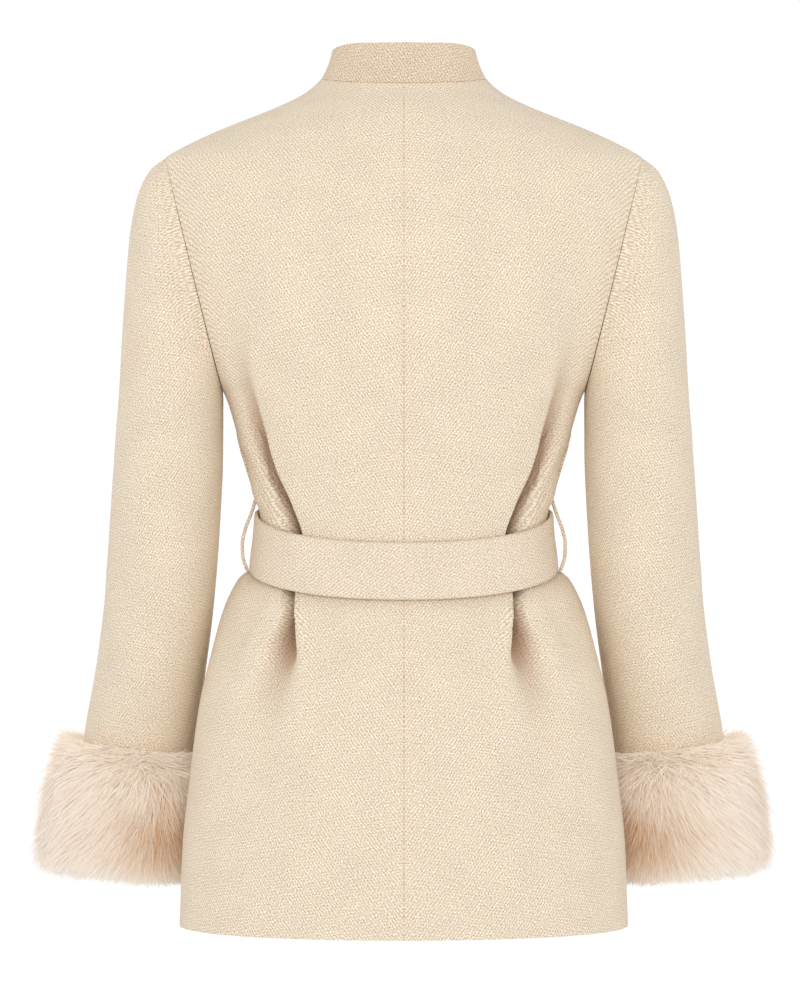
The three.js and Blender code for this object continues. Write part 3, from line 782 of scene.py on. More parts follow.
class ShaderKit:
    """Short ways to start materials and groups of nodes, and to add nodes to them."""

    @staticmethod
    def material(name: str, settings: dict[str, object]) -> tuple:
        """Starts a material.

        Args:
            name: its name.
            settings: the values of its shader's sockets.

        Returns:
            The material, its node tree and its shader.
        """
        made = bpy.data.materials.new(name)
        made.use_nodes = True
        shader = made.node_tree.nodes["Principled BSDF"]
        for key, value in settings.items():
            shader.inputs[key].default_value = value
        return made, made.node_tree, shader

    @staticmethod
    def group(name: str, inputs: dict[str, object], outputs: dict[str, str]) -> tuple:
        """Starts a shader node group.

        Args:
            name: the group's name.
            inputs: each input's name and default; a default of None makes a vector socket.
            outputs: each output's name and socket type.

        Returns:
            The group, its input node and its output node.
        """
        tree = bpy.data.node_groups.new(name, "ShaderNodeTree")
        for key, value in inputs.items():
            kind = "NodeSocketVector" if value is None else "NodeSocketFloat"
            socket = tree.interface.new_socket(name=key, in_out="INPUT", socket_type=kind)
            if value is not None:
                socket.default_value = value
        for key, kind in outputs.items():
            tree.interface.new_socket(name=key, in_out="OUTPUT", socket_type=kind)
        return tree, tree.nodes.new("NodeGroupInput"), tree.nodes.new("NodeGroupOutput")

    @staticmethod
    def math(tree: bpy.types.NodeTree, kind: str, *values: object) -> object:
        """A Math node.

        Args:
            tree: the node tree.
            kind: the operation.
            values: numbers, or output sockets to link.

        Returns:
            Its output socket.
        """
        node = tree.nodes.new("ShaderNodeMath")
        node.operation = kind
        for i, value in enumerate(values):
            if isinstance(value, (int, float)):
                node.inputs[i].default_value = value
            else:
                tree.links.new(value, node.inputs[i])
        return node.outputs[0]

    @staticmethod
    def vector(tree: bpy.types.NodeTree, kind: str, *values: object) -> object:
        """A Vector Math node.

        Args:
            tree: the node tree.
            kind: the operation.
            values: triples, or output sockets to link.

        Returns:
            Its output socket.
        """
        node = tree.nodes.new("ShaderNodeVectorMath")
        node.operation = kind
        for i, value in enumerate(values):
            if isinstance(value, tuple):
                node.inputs[i].default_value = value
            else:
                tree.links.new(value, node.inputs[i])
        return node.outputs[0]

    @staticmethod
    def noise(tree: bpy.types.NodeTree, place: object, scale: float, detail: float = 1.0) -> object:
        """A Noise Texture node.

        Args:
            tree: the node tree.
            place: the socket of the place where it is read.
            scale: its scale.
            detail: its detail.

        Returns:
            The node.
        """
        node = tree.nodes.new("ShaderNodeTexNoise")
        node.inputs["Scale"].default_value = scale
        node.inputs["Detail"].default_value = detail
        tree.links.new(place, node.inputs["Vector"])
        return node

    @staticmethod
    def mix(tree: bpy.types.NodeTree, share: object, a: object, b: object) -> object:
        """A Mix node for colours.

        Args:
            tree: the node tree.
            share: the share of b, as a number or a socket.
            a: a colour, or an output socket to link.
            b: another one.

        Returns:
            Its output socket.
        """
        node = tree.nodes.new("ShaderNodeMix")
        node.data_type = "RGBA"
        for socket, value in ((node.inputs[0], share), (node.inputs[6], a), (node.inputs[7], b)):
            if isinstance(value, (tuple, float)):
                socket.default_value = value
            else:
                tree.links.new(value, socket)
        return node.outputs[2]

    @staticmethod
    def split(tree: bpy.types.NodeTree, vector: object) -> tuple:
        """A Separate XYZ node.

        Args:
            tree: the node tree.
            vector: the socket that it takes apart.

        Returns:
            Its three output sockets.
        """
        node = tree.nodes.new("ShaderNodeSeparateXYZ")
        tree.links.new(vector, node.inputs[0])
        return tuple(node.outputs)

    @staticmethod
    def uv_map(tree: bpy.types.NodeTree, name: str) -> object:
        """A UV Map node.

        Args:
            tree: the node tree.
            name: the map's name.

        Returns:
            Its output socket.
        """
        node = tree.nodes.new("ShaderNodeUVMap")
        node.uv_map = name
        return node.outputs[0]

    @staticmethod
    def use(tree: bpy.types.NodeTree, group: bpy.types.NodeTree, place: object) -> object:
        """A node that runs a group.

        Args:
            tree: the node tree.
            group: the group.
            place: the socket of the place where it is read.

        Returns:
            The node.
        """
        node = tree.nodes.new("ShaderNodeGroup")
        node.node_tree = group
        tree.links.new(place, node.inputs["Place"])
        return node


@dataclass(frozen=True)
class TwillWeave:
    """The wool's weave: slanted ribs broken into short floats, with uneven yarn."""

    pitch: float = 0.0025
    float_length: float = 0.0029
    slant: float = 0.9
    float_step: float = 0.43  # how far a rib's floats lie beyond those of the next rib, as a share
    wander: float = 0.0026  # how far the ribs wander
    wander_scale: float = 150
    yarn_scale: float = 1250
    yarn_stretch: float = 0.5
    rib_depth: float = 0.21
    float_depth: float = 0.15
    grain_gain: float = 2.5
    grain_base: float = -0.72
    cloud_scale: float = 26
    cloud_detail: float = 3

    def group(self) -> bpy.types.NodeTree:
        """Builds the weave's node group.

        Returns:
            A group with Speckle, from 0 in the dips to 1 on the floats, Cloud, a slow change of
            tone, and Height.
        """
        kit = ShaderKit
        inputs = {"Place": None, "Pitch": self.pitch, "Float": self.float_length, "Slant": self.slant}
        outputs = dict.fromkeys(("Speckle", "Cloud", "Height"), "NodeSocketFloat")
        tree, given, made = kit.group("wool_twill", inputs, outputs)
        place = given.outputs["Place"]
        drift = kit.noise(tree, place, self.wander_scale).outputs["Color"]
        shift = kit.vector(tree, "SUBTRACT", drift, (0.5, 0.5, 0.5))
        shift = kit.vector(tree, "MULTIPLY", shift, (self.wander, self.wander, 0))
        moved = kit.vector(tree, "ADD", place, shift)
        turn = tree.nodes.new("ShaderNodeVectorRotate")
        turn.rotation_type = "Z_AXIS"
        tree.links.new(moved, turn.inputs["Vector"])
        tree.links.new(kit.math(tree, "MULTIPLY", given.outputs["Slant"], -1.0), turn.inputs["Angle"])
        along, across, _ = kit.split(tree, turn.outputs[0])
        full = 2 * math.pi
        rib_number = kit.math(tree, "DIVIDE", across, given.outputs["Pitch"])
        rib = kit.math(tree, "SINE", kit.math(tree, "MULTIPLY", rib_number, full))
        step = kit.math(tree, "MULTIPLY", kit.math(tree, "FLOOR", rib_number), self.float_step)
        run = kit.math(tree, "DIVIDE", along, given.outputs["Float"])
        run = kit.math(tree, "ADD", run, step)
        dash = kit.math(tree, "SINE", kit.math(tree, "MULTIPLY", run, full))
        stretched = kit.vector(tree, "MULTIPLY", turn.outputs[0], (self.yarn_stretch, 1.0, 1.0))
        yarn = kit.noise(tree, stretched, self.yarn_scale).outputs["Fac"]
        ribs = kit.math(tree, "MULTIPLY", rib, self.rib_depth)
        woven = kit.math(tree, "ADD", ribs, kit.math(tree, "MULTIPLY", dash, self.float_depth))
        grain = kit.math(tree, "MULTIPLY_ADD", yarn, self.grain_gain, self.grain_base)
        speckle = kit.math(tree, "ADD", woven, grain)
        speckle.node.use_clamp = True
        cloud = kit.noise(tree, place, self.cloud_scale, self.cloud_detail).outputs["Fac"]
        for key, value in (("Speckle", speckle), ("Cloud", cloud), ("Height", speckle)):
            tree.links.new(value, made.inputs[key])
        return tree


@dataclass(frozen=True)
class SeamThread:
    """A fine dotted line of stitches along the edge of a piece where its own u is 0."""

    width: float = 0.0007
    stitch: float = 0.0026
    strength: float = 0.65  # of the line, from which the dots swing up and down
    swing: float = 0.35

    def group(self) -> bpy.types.NodeTree:
        """Builds the thread's node group.

        Returns:
            A group with Line, 1 on the stitches and 0 away from them.
        """
        kit = ShaderKit
        inputs = {"Place": None, "Width": self.width, "Stitch": self.stitch}
        tree, given, made = kit.group("seam_thread", inputs, {"Line": "NodeSocketFloat"})
        u, v, _ = kit.split(tree, given.outputs["Place"])
        away = kit.math(tree, "DIVIDE", kit.math(tree, "ABSOLUTE", u), given.outputs["Width"])
        near = kit.math(tree, "SUBTRACT", 1.0, kit.math(tree, "MULTIPLY", away, away))
        near.node.use_clamp = True
        run = kit.math(tree, "DIVIDE", v, given.outputs["Stitch"])
        dots = kit.math(tree, "SINE", kit.math(tree, "MULTIPLY", run, 2 * math.pi))
        dots = kit.math(tree, "MULTIPLY_ADD", dots, self.swing, self.strength)
        tree.links.new(kit.math(tree, "MULTIPLY", near, dots), made.inputs["Line"])
        return tree


@dataclass(frozen=True)
class WoolFinish:
    """A finish of the coat's wool cloth."""

    name: str
    pale: Colour
    deep: Colour
    slant: float = 0.95
    seam: Colour | None = None
    # painted shade: the colour that the cloth darkens towards in the belt's folds and under its lower edge
    fold: Colour = (160, 112, 76)
    fold_share: float = 0.62  # how far the painted shade darkens the cloth at the bottom of a fold
    roughness: float = 0.95
    specular: float = 0.15
    sheen: float = 0.25
    sheen_roughness: float = 0.6
    sheen_tint: Colour = (255, 244, 226)
    tone_low: float = 0.92  # how dark the slow changes of tone begin
    tone_range: float = 0.16
    relief: float = 0.00032
    relief_strength: float = 0.8

    def material(self, groups: dict[str, bpy.types.NodeTree]) -> bpy.types.Material:
        """Builds the material.

        Args:
            groups: the shared node groups by name.

        Returns:
            The material, to be used on pieces with a UV map in metres.
        """
        kit = ShaderKit
        settings = {
            "Roughness": self.roughness,
            "Specular IOR Level": self.specular,
            "Sheen Weight": self.sheen,
            "Sheen Roughness": self.sheen_roughness,
            "Sheen Tint": linear(self.sheen_tint),
        }
        made, tree, shader = kit.material(self.name, settings)
        measure = kit.uv_map(tree, "UVMap")
        weave = kit.use(tree, groups["twill"], measure)
        weave.inputs["Slant"].default_value = self.slant
        woven = kit.mix(tree, weave.outputs["Speckle"], linear(self.deep), linear(self.pale))
        tone = kit.math(tree, "MULTIPLY_ADD", weave.outputs["Cloud"], self.tone_range, self.tone_low)
        toned = kit.vector(tree, "SCALE", woven)
        tree.links.new(tone, toned.node.inputs["Scale"])
        # painted shade: the cloth is mixed towards the fold colour by the Shade map's depth, in the belt's
        # folds and under its lower edge
        depth = kit.split(tree, kit.uv_map(tree, "Shade"))[0]
        sunk = kit.math(tree, "MULTIPLY", depth, self.fold_share)
        colour = kit.mix(tree, sunk, toned, linear(self.fold))
        if self.seam is not None:
            thread = kit.use(tree, groups["seam_thread"], measure)
            colour = kit.mix(tree, thread.outputs["Line"], colour, linear(self.seam))
        bump = tree.nodes.new("ShaderNodeBump")
        bump.inputs["Distance"].default_value = self.relief
        bump.inputs["Strength"].default_value = self.relief_strength
        tree.links.new(weave.outputs["Height"], bump.inputs["Height"])
        tree.links.new(colour, shader.inputs["Base Color"])
        tree.links.new(bump.outputs[0], shader.inputs["Normal"])
        return made


@dataclass(frozen=True)
class FurFinish:
    """The finish of the fur's hairs and of the pelt that they stand in."""

    name: str
    pale: Colour
    rose: Colour
    tan: Colour
    root: Colour
    roughness: float = 0.75
    specular: float = 0.2
    sheen: float = 1.0
    sheen_roughness: float = 0.5
    glow: float = 0.065  # stands for the light that passes through the hairs

    def material(self) -> bpy.types.Material:
        """Builds the material, which reads the hairs' own tint.

        Returns:
            The material. tint holds the place along a hair, its share of tan and its lightness.
        """
        kit = ShaderKit
        settings = {
            "Roughness": self.roughness,
            "Specular IOR Level": self.specular,
            "Sheen Weight": self.sheen,
            "Sheen Roughness": self.sheen_roughness,
            "Emission Strength": self.glow,
        }
        made, tree, shader = kit.material(self.name, settings)
        tint = tree.nodes.new("ShaderNodeAttribute")
        tint.attribute_name = "tint"
        parts = tree.nodes.new("ShaderNodeSeparateColor")
        tree.links.new(tint.outputs["Color"], parts.inputs[0])
        along, brown, light = parts.outputs[0], parts.outputs[1], parts.outputs[2]
        body = kit.mix(tree, light, linear(self.rose), linear(self.pale))
        body = kit.mix(tree, brown, body, linear(self.tan))
        rooted = kit.mix(tree, along, linear(self.root), body)
        # painted light: the hairs' colour also makes them glow, standing for the light that passes through
        # them
        for key in ("Base Color", "Emission Color"):
            tree.links.new(rooted, shader.inputs[key])
        return made


@dataclass
class Workshop:
    """What every sub-assembly needs: the shared node groups and the finishes made from them."""

    wool: bpy.types.Material
    seamed_wool: bpy.types.Material
    collar_wool: bpy.types.Material
    belt_wool: bpy.types.Material
    fur: bpy.types.Material

    @classmethod
    def open(cls) -> "Workshop":
        """Builds the node groups and all finishes.

        Returns:
            The workshop.
        """
        groups = {"twill": TwillWeave().group(), "seam_thread": SeamThread().group()}
        pale, deep = (255, 248, 231), (204, 173, 137)
        plain = WoolFinish("cream_wool", pale, deep)
        seamed = WoolFinish("cream_wool_seamed", pale, deep, seam=(222, 188, 150))
        # painted shade: the collar's wool is a darker copy of the coat's wool
        collar = WoolFinish("collar_wool", (246, 230, 208), (190, 161, 128))
        belt = WoolFinish("belt_wool", (255, 244, 227), (204, 177, 146), slant=0.75)
        fur = FurFinish(
            "cuff_fur", pale=(254, 250, 243), rose=(248, 231, 214), tan=(216, 170, 118), root=(248, 230, 208)
        )
        wools = [finish.material(groups) for finish in (plain, seamed, collar, belt)]
        return cls(*wools, fur.material())


def register(thing: bpy.types.Object, material: bpy.types.Material, slot: str, *nodes: str) -> None:
    """Dresses a piece, joins it to the coat and reports it.

    Args:
        thing: the finished piece.
        material: its finish.
        slot: the name of a material slot; not used.
        nodes: the CAD nodes that it stands for.
    """
    thing.data.materials.clear()
    thing.data.materials.append(material)
    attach(thing, "root")
    if nodes:
        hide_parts(*nodes)
    thing.data.calc_loop_triangles()
    LOG.info("%s: %d triangles", thing.name, len(thing.data.loop_triangles))


@dataclass
class Panel:
    """Half of the back, or a front: one cut piece of the coat's body."""

    name: str
    half: Half
    side: Side
    flat: Pair
    area: float
    creases: tuple[Crease, ...]
    under: float = 0.0  # how deep it lies under the other front
    seam_dip: float = 0.0004  # how far the cloth rounds in at a seam
    seam_round: float = 0.0035
    edge: float = 0.00008
    settle: float = 0.011  # how far the shoulder's and underarm's turns are softened
    lit_depth: float = 0.0015  # the depth in a fold up to which the cloth gets no painted shade
    dark_depth: float = 0.020  # the depth from which its painted shade is darkest

    # Where the softening begins and ends: heights, then shares of the panel's width
    SOFT_LOW = (-0.335, -0.290)
    SOFT_TOP = (-0.045, -0.020)
    SOFT_WIDTH = (0.86, 0.97)
    # The centre-back seam is narrower and shallower than the side seam, by these shares
    MIDDLE_ROUND = 0.5
    MIDDLE_DIP = 0.35
    NECK_FADE = (0.0005, 0.006)  # how near to the neck seam the dips fade out

    ROWS = (
        (HEM, 1), (-0.7265, 1), (-0.724, 24), (-0.560, 16), (-0.480, 14), (-0.428, 10),
        (-0.412, 6), (-0.373, 14), (-0.320, 10), (-0.275, 3), (-0.2695, 0),
    )
    ARMHOLE_ROWS = 34
    TOP_ROWS = ((-0.0645, 3), (-0.058, 7), (-0.025, 5), (-0.004, 4), (NECK, 0))
    BACK_COLUMNS = (
        (0, 1), (0.004, 1), (0.010, 1), (0.020, 8), (0.375, 50), (0.79, 8), (0.955, 1),
        (0.973, 1), (0.986, 1), (0.994, 1), (1, 0),
    )
    FRONT_COLUMNS = (
        (0, 1), (0.004, 1), (0.012, 12), (0.42, 7), (0.58, 28), (0.84, 6), (0.965, 1), (0.982, 1),
        (0.992, 1), (0.997, 1), (1, 0),
    )

    def heights(self) -> Array:
        """Spreads the rows, closer near the belt, the hem and the ends of the armhole.

        Returns:
            The rows' heights.
        """
        turn = np.linspace(-math.pi / 2, math.pi / 2, self.ARMHOLE_ROWS + 1)
        up = np.sign(turn) * np.abs(np.sin(turn)) ** (2 / ARMHOLE_ROUNDNESS)
        beside = (SHOULDER + UNDERARM) / 2 + up * (SHOULDER - UNDERARM) / 2
        return np.concatenate([graded(self.ROWS), beside, graded(self.TOP_ROWS)])

    def ends(self, height: float) -> Pair:
        """The ends of one row.

        Args:
            height: the row's height.

        Returns:
            The reaches of the panel's inner and side edges.
        """
        at_armhole = UNDERARM < height < SHOULDER
        length = BodyForm.section(height, self.half).length
        last = length - (0 if at_armhole else SEAM_GAP / 2)
        if self.half is Half.BACK:
            return SEAM_GAP / 2, last
        gap = SEAM_GAP / 2 if height >= COLLAR_END else 0
        return BodyForm.reach_at(height, self.half, FRONT_EDGE.read("x", height)) + gap, last

    def place(self, folded: bool = True) -> tuple[Array, Array, Array]:
        """Lays the panel on the body's form.

        Args:
            folded: whether the belt's folds are pressed in.

        Returns:
            The grid of points on the wearer's left side, the reaches, and the heights.
        """
        heights = self.heights()
        share = graded(self.BACK_COLUMNS if self.half is Half.BACK else self.FRONT_COLUMNS)
        points, reaches = [], []
        for height in heights:
            first, last = self.ends(height)
            reach = BodyForm.column_reach(height, self.half, first, last, share)
            s = BodyForm.section(height, self.half)
            x = np.sign(reach) * np.interp(np.abs(reach), s.along, s.x)
            below = 1 - smooth_step(height, *UNDERLAP_FADE)
            lift = -self.under * (1 - smooth_step(x, *UNDERLAP_X)) * below
            points.append(BodyForm.points(height, self.half, reach, lift, folded))
            reaches.append(reach)
        return np.array(points), np.array(reaches), heights

    def soften(self, points: Array, heights: Array) -> Array:
        """Evens out the turns at the shoulder and the underarm, away from the panel's edges.

        Args:
            points: the panel's grid of points.
            heights: the heights of its rows.

        Returns:
            The softened grid.
        """
        gap = np.gradient(heights)
        weight = np.exp(-(((heights[:, None] - heights[None, :]) / self.settle) ** 2)) * gap[None, :]
        weight /= weight.sum(axis=1, keepdims=True)
        evened = np.einsum("ij,jkl->ikl", weight, points)
        rows = smooth_step(heights, *self.SOFT_LOW) * (1 - smooth_step(heights, *self.SOFT_TOP))
        share = np.linspace(0, 1, points.shape[1])
        columns = 1 - smooth_step(share, *self.SOFT_WIDTH)
        mask = rows[:, None] * columns[None, :]
        return points + mask[:, :, None] * (evened - points)

    def dip(self, reaches: Array, along: Array) -> Array:
        """Rounds the cloth in towards the panel's seams.

        Args:
            reaches: the reach of each point.
            along: the distance of each point from the hem.

        Returns:
            How far each point is sunk.
        """
        side = reaches[:, -1:] - reaches
        sunk = np.exp(-((side / self.seam_round) ** 2)) * self.seam_dip
        if self.half is Half.BACK:
            middle = reaches - reaches[:, :1]
            narrow = self.seam_round * self.MIDDLE_ROUND
            sunk = sunk + np.exp(-((middle / narrow) ** 2)) * self.seam_dip * self.MIDDLE_DIP
        neck = along[-1:, :] - along
        return np.minimum(sunk, self.seam_dip) * smooth_step(neck, *self.NECK_FADE)

    def shade(self, reaches: Array, heights: Array) -> Array:
        """Finds how deep in the belt's folds, or under its lower edge, the cloth lies, as the share of
        painted shade that it gets.

        Args:
            reaches: the reach of each point.
            heights: the heights of the rows.

        Returns:
            The depth of each point, from 0 to 1, which is its share of painted shade.
        """
        rows = []
        for height, reach in zip(heights, reaches):
            s = BodyForm.section(height, self.half)
            x = np.interp(np.abs(reach), s.along, s.x)
            rows.append(BodyForm.fold(height, self.half, x)[0])
        folded = smooth_step(np.array(rows), self.lit_depth, self.dark_depth)
        below = smooth_step(-heights, -BELT_SHADOW_HEIGHTS[0], -BELT_SHADOW_HEIGHTS[1])
        above = 1 - smooth_step(-heights, -BELT_SHADOW_HEIGHTS[1], -BELT_SHADOW_HEIGHTS[2])
        return np.maximum(folded, (below * above)[:, None])

    def build(self, shop: Workshop) -> bpy.types.Object:
        """Cuts, shapes and dresses the panel.

        Args:
            shop: the finishes.

        Returns:
            The finished piece.
        """
        points, reaches, heights = self.place()
        points = self.soften(points, heights)
        along = running_length(self.place(folded=False)[0], 0)
        normals = grid_normals(points, points * (1, 1, 0))
        out = relief(self.creases, points[..., 0], points[..., 2]) - self.dip(reaches, along)
        points = points + normals * out[..., None]
        armhole = (heights >= UNDERARM) & (heights <= SHOULDER)
        points[armhole, -1] -= ARMHOLE_OUT * SEAM_GAP / 2
        points[heights >= NECK, :, 2] -= SEAM_GAP / 2
        uv = np.stack([reaches, along], axis=-1)
        piece = Bench.sheet(self.name, Bench.mirror(points, self.side), uv)
        # painted shade: the depths go to the Shade map, which darkens the cloth's colour in the folds and in
        # a band under the belt
        depth = self.shade(reaches, heights).ravel()
        Bench.lay_map(piece, "Shade", np.stack([depth, 0 * depth], axis=-1))
        Bench.thicken(piece, CLOTH, self.edge)
        finish = shop.seamed_wool if self.half is Half.BACK else shop.wool
        register(piece, finish, "coat_cloth", self.name.replace("panel_", ""))
        return piece


BACK_CREASES = (
    Crease((0.104, -0.371), (0.137, -0.300), 0.006, 0.0022),
    Crease((0.115, -0.371), (0.142, -0.316), 0.0040, -0.0020),
    Crease((0.121, -0.372), (0.148, -0.330), 0.0045, 0.0016),
    Crease((0.108, -0.436), (0.142, -0.508), 0.007, 0.0020),
    Crease((0.124, -0.440), (0.154, -0.512), 0.010, -0.0012),
    Crease((0.150, -0.520), (0.170, -0.700), 0.020, 0.0020),
    Crease((0.060, -0.470), (0.066, -0.660), 0.020, -0.0010),
    Crease((0.028, -0.560), (0.030, -0.715), 0.022, 0.0008),
    Crease((0.152, -0.265), (0.116, -0.318), 0.010, -0.0012),
    Crease((0.148, -0.240), (0.100, -0.262), 0.012, -0.0010),
    Crease((0.095, -0.120), (0.105, -0.215), 0.036, 0.0016),
    Crease((0.058, -0.330), (0.070, -0.378), 0.012, -0.0007),
)
FRONT_CREASES = (
    Crease((0.108, -0.395), (0.146, -0.300), 0.009, 0.0024),
    Crease((0.112, -0.435), (0.142, -0.520), 0.009, 0.0022),
    Crease((0.150, -0.520), (0.166, -0.700), 0.020, 0.0020),
    Crease((0.066, -0.440), (0.078, -0.560), 0.013, -0.0016),
    Crease((0.040, -0.432), (0.044, -0.520), 0.010, 0.0012),
    Crease((0.070, -0.370), (0.084, -0.300), 0.011, -0.0016),
    Crease((0.036, -0.368), (0.050, -0.312), 0.009, 0.0013),
    Crease((0.150, -0.262), (0.108, -0.315), 0.012, -0.0016),
    Crease((0.060, -0.600), (0.064, -0.720), 0.022, 0.0010),
    Crease((0.110, -0.130), (0.120, -0.210), 0.030, 0.0012),
)


@dataclass
class Sleeve:
    """A one-piece sleeve, from the armhole to just above the fur's lower edge."""

    side: Side
    flat: Pair = (0.375, 0.650)
    area: float = 0.190
    columns: int = 60
    edge: float = 0.00008
    seam_dip: float = 0.0004
    seam_round: float = 0.0045  # of the armhole's seam
    under_round: float = 0.002  # of the seam under the arm

    ROWS = (
        (SHOULDER, 1), (-0.067, 1), (-0.0695, 1), (-0.0725, 2), (-0.080, 3), (-0.100, 5),
        (-0.160, 10), (-0.260, 38), (-0.560, 10), (SLEEVE_END, 0),
    )
    CREASES = (
        Crease((0.170, -0.342), (0.214, -0.330), 0.009, -0.0022),
        Crease((0.172, -0.372), (0.222, -0.364), 0.010, -0.0018),
        Crease((0.176, -0.405), (0.216, -0.404), 0.009, -0.0014),
        Crease((0.168, -0.356), (0.210, -0.347), 0.007, 0.0012),
        Crease((0.250, -0.140), (0.246, -0.300), 0.016, -0.0008),
        Crease((0.222, -0.120), (0.214, -0.260), 0.016, 0.0010),
        Crease((0.205, -0.470), (0.228, -0.570), 0.018, 0.0012),
        Crease((0.258, -0.430), (0.270, -0.560), 0.018, -0.0012),
        Crease((0.180, -0.285), (0.196, -0.318), 0.009, -0.0014),
    )

    def build(self, shop: Workshop) -> bpy.types.Object:
        """Cuts, shapes and dresses the sleeve.

        Args:
            shop: the finishes.

        Returns:
            The finished piece.
        """
        heights = graded(self.ROWS)
        turn = 180 + 360 * np.arange(self.columns + 1) / self.columns
        points = np.array([ArmForm.points(h, turn) for h in heights])
        along = running_length(points, 0)
        around = running_length(points, 1)
        axis = points[:, :-1].mean(axis=1, keepdims=True)
        normals = grid_normals(points, points - axis)
        normals[:, 0] = normals[:, -1] = unit(normals[:, 1] + normals[:, -2])
        sunk = self.seam_dip * np.exp(-((along / self.seam_round) ** 2))
        seam = np.minimum(around, around[:, -1:] - around)
        sunk = sunk + self.seam_dip * np.exp(-((seam / self.under_round) ** 2))
        sunk = np.minimum(sunk, self.seam_dip)
        out = relief(self.CREASES, points[..., 0], points[..., 2]) - sunk
        points = points + normals * out[..., None]
        points[0] += ARMHOLE_OUT * SEAM_GAP / 2
        level = around[len(heights) // 2]
        u = (level / level[-1] - 0.5) * self.flat[0]
        uv = np.stack([u + 0 * around, points[..., 2]], axis=-1)
        name = f"sleeve_{self.side.word}"
        points = Bench.mirror(points[:, :-1], self.side)
        piece = Bench.sheet(f"panel_{name}", points, uv, closed_across=True)
        Bench.thicken(piece, CLOTH, self.edge)
        register(piece, shop.wool, "coat_cloth", name)
        return piece


@dataclass
class Collar:
    """The stand collar, in one piece with no seam at its middle."""

    flat: Pair = (0.305, 0.036)
    area: float = 0.0088
    bend: float = 0.32
    edge: float = 0.0007
    levels: int = 13
    half_columns: int = 40
    behind: int = 40  # points of the neck seam on the back
    ahead: int = 24  # points of it on a front

    SHAPE = Table(
        ("along", "height", "lean"),
        (
            (0, 0.0350, -0.001), (0.25, 0.0340, 0.001), (0.38, 0.0310, 0.004),
            (0.50, 0.0265, 0.0075), (0.62, 0.0230, 0.0105), (0.82, 0.0230, 0.0085),
            (1, 0.0210, 0.006),
        ),
    )

    def seam(self) -> tuple[Array, Array]:
        """Half of the neck seam.

        Returns:
            Points from the nape, round the neck and down the front edge, and how they lift off the
            panels' edges.
        """
        reach = np.linspace(0, BodyForm.section(NECK, Half.BACK).length, self.behind)
        behind = BodyForm.points(NECK, Half.BACK, reach)
        ahead = []
        for height in np.linspace(NECK, COLLAR_END, self.ahead):
            reach = BodyForm.reach_at(height, Half.FRONT, FRONT_EDGE.read("x", height))
            ahead.append(BodyForm.points(height, Half.FRONT, reach)[0])
        points = np.concatenate([behind, ahead[1:]])
        lift = np.repeat([SEAM_GAP / 2, SEAM_GAP], [self.behind, self.ahead - 1])
        return points, lift

    def build(self, shop: Workshop) -> bpy.types.Object:
        """Cuts, shapes and dresses the collar.

        Args:
            shop: the finishes.

        Returns:
            The finished piece.
        """
        seam, lift = self.seam()
        run = running_length(seam[None], 1)[0]
        even = np.linspace(0, run[-1], self.half_columns + 1)
        seam = np.stack([np.interp(even, run, seam[:, k]) for k in range(3)], axis=-1)
        lift = np.interp(even, run, lift)
        seam[:, 2] += lift
        tangent = unit(np.gradient(seam, axis=0) * (1, 1, 0))
        tangent[0] = (1, 0, 0)
        out = np.stack([-tangent[:, 1], tangent[:, 0], np.zeros(len(seam))], axis=-1)
        out *= np.sign((out * seam * (1, 1, 0)).sum(axis=-1, keepdims=True))
        out[0] = (0, 1, 0)
        share = even / even[-1]
        level = np.linspace(0, 1, self.levels)[:, None]
        lean = self.SHAPE.read("lean", share) * (level * (1 + self.bend) - self.bend * level**2)
        up = self.SHAPE.read("height", share) * level
        points = seam[None] - out[None] * lean[..., None]
        points[..., 2] += up
        mirror = Bench.mirror(points[:, :0:-1], Side.RIGHT)
        whole = np.concatenate([mirror, points], axis=1)
        measure = np.concatenate([-even[:0:-1], even])
        uv = np.stack([np.broadcast_to(measure, whole.shape[:2]), running_length(whole, 0)], axis=-1)
        piece = Bench.sheet("stand_collar", whole, uv)
        Bench.thicken(piece, CLOTH, self.edge)
        register(piece, shop.collar_wool, "collar_cloth", "collar")
        return piece


@dataclass(frozen=True)
class Groove:
    """A groove across the knot, where the shares of x and y, from -1 to 1, and the offset cancel out."""

    depth: float
    x_share: float
    y_share: float
    offset: float
    width: float
    fade: float = math.inf  # how far up and down from the knot's middle it reaches

    def at(self, x: float, y: float) -> float:
        """How deep the groove is at a place."""
        away = (self.y_share * y + self.x_share * x + self.offset) / self.width
        return self.depth * math.exp(-(away**2)) * math.exp(-((y / self.fade) ** 2))


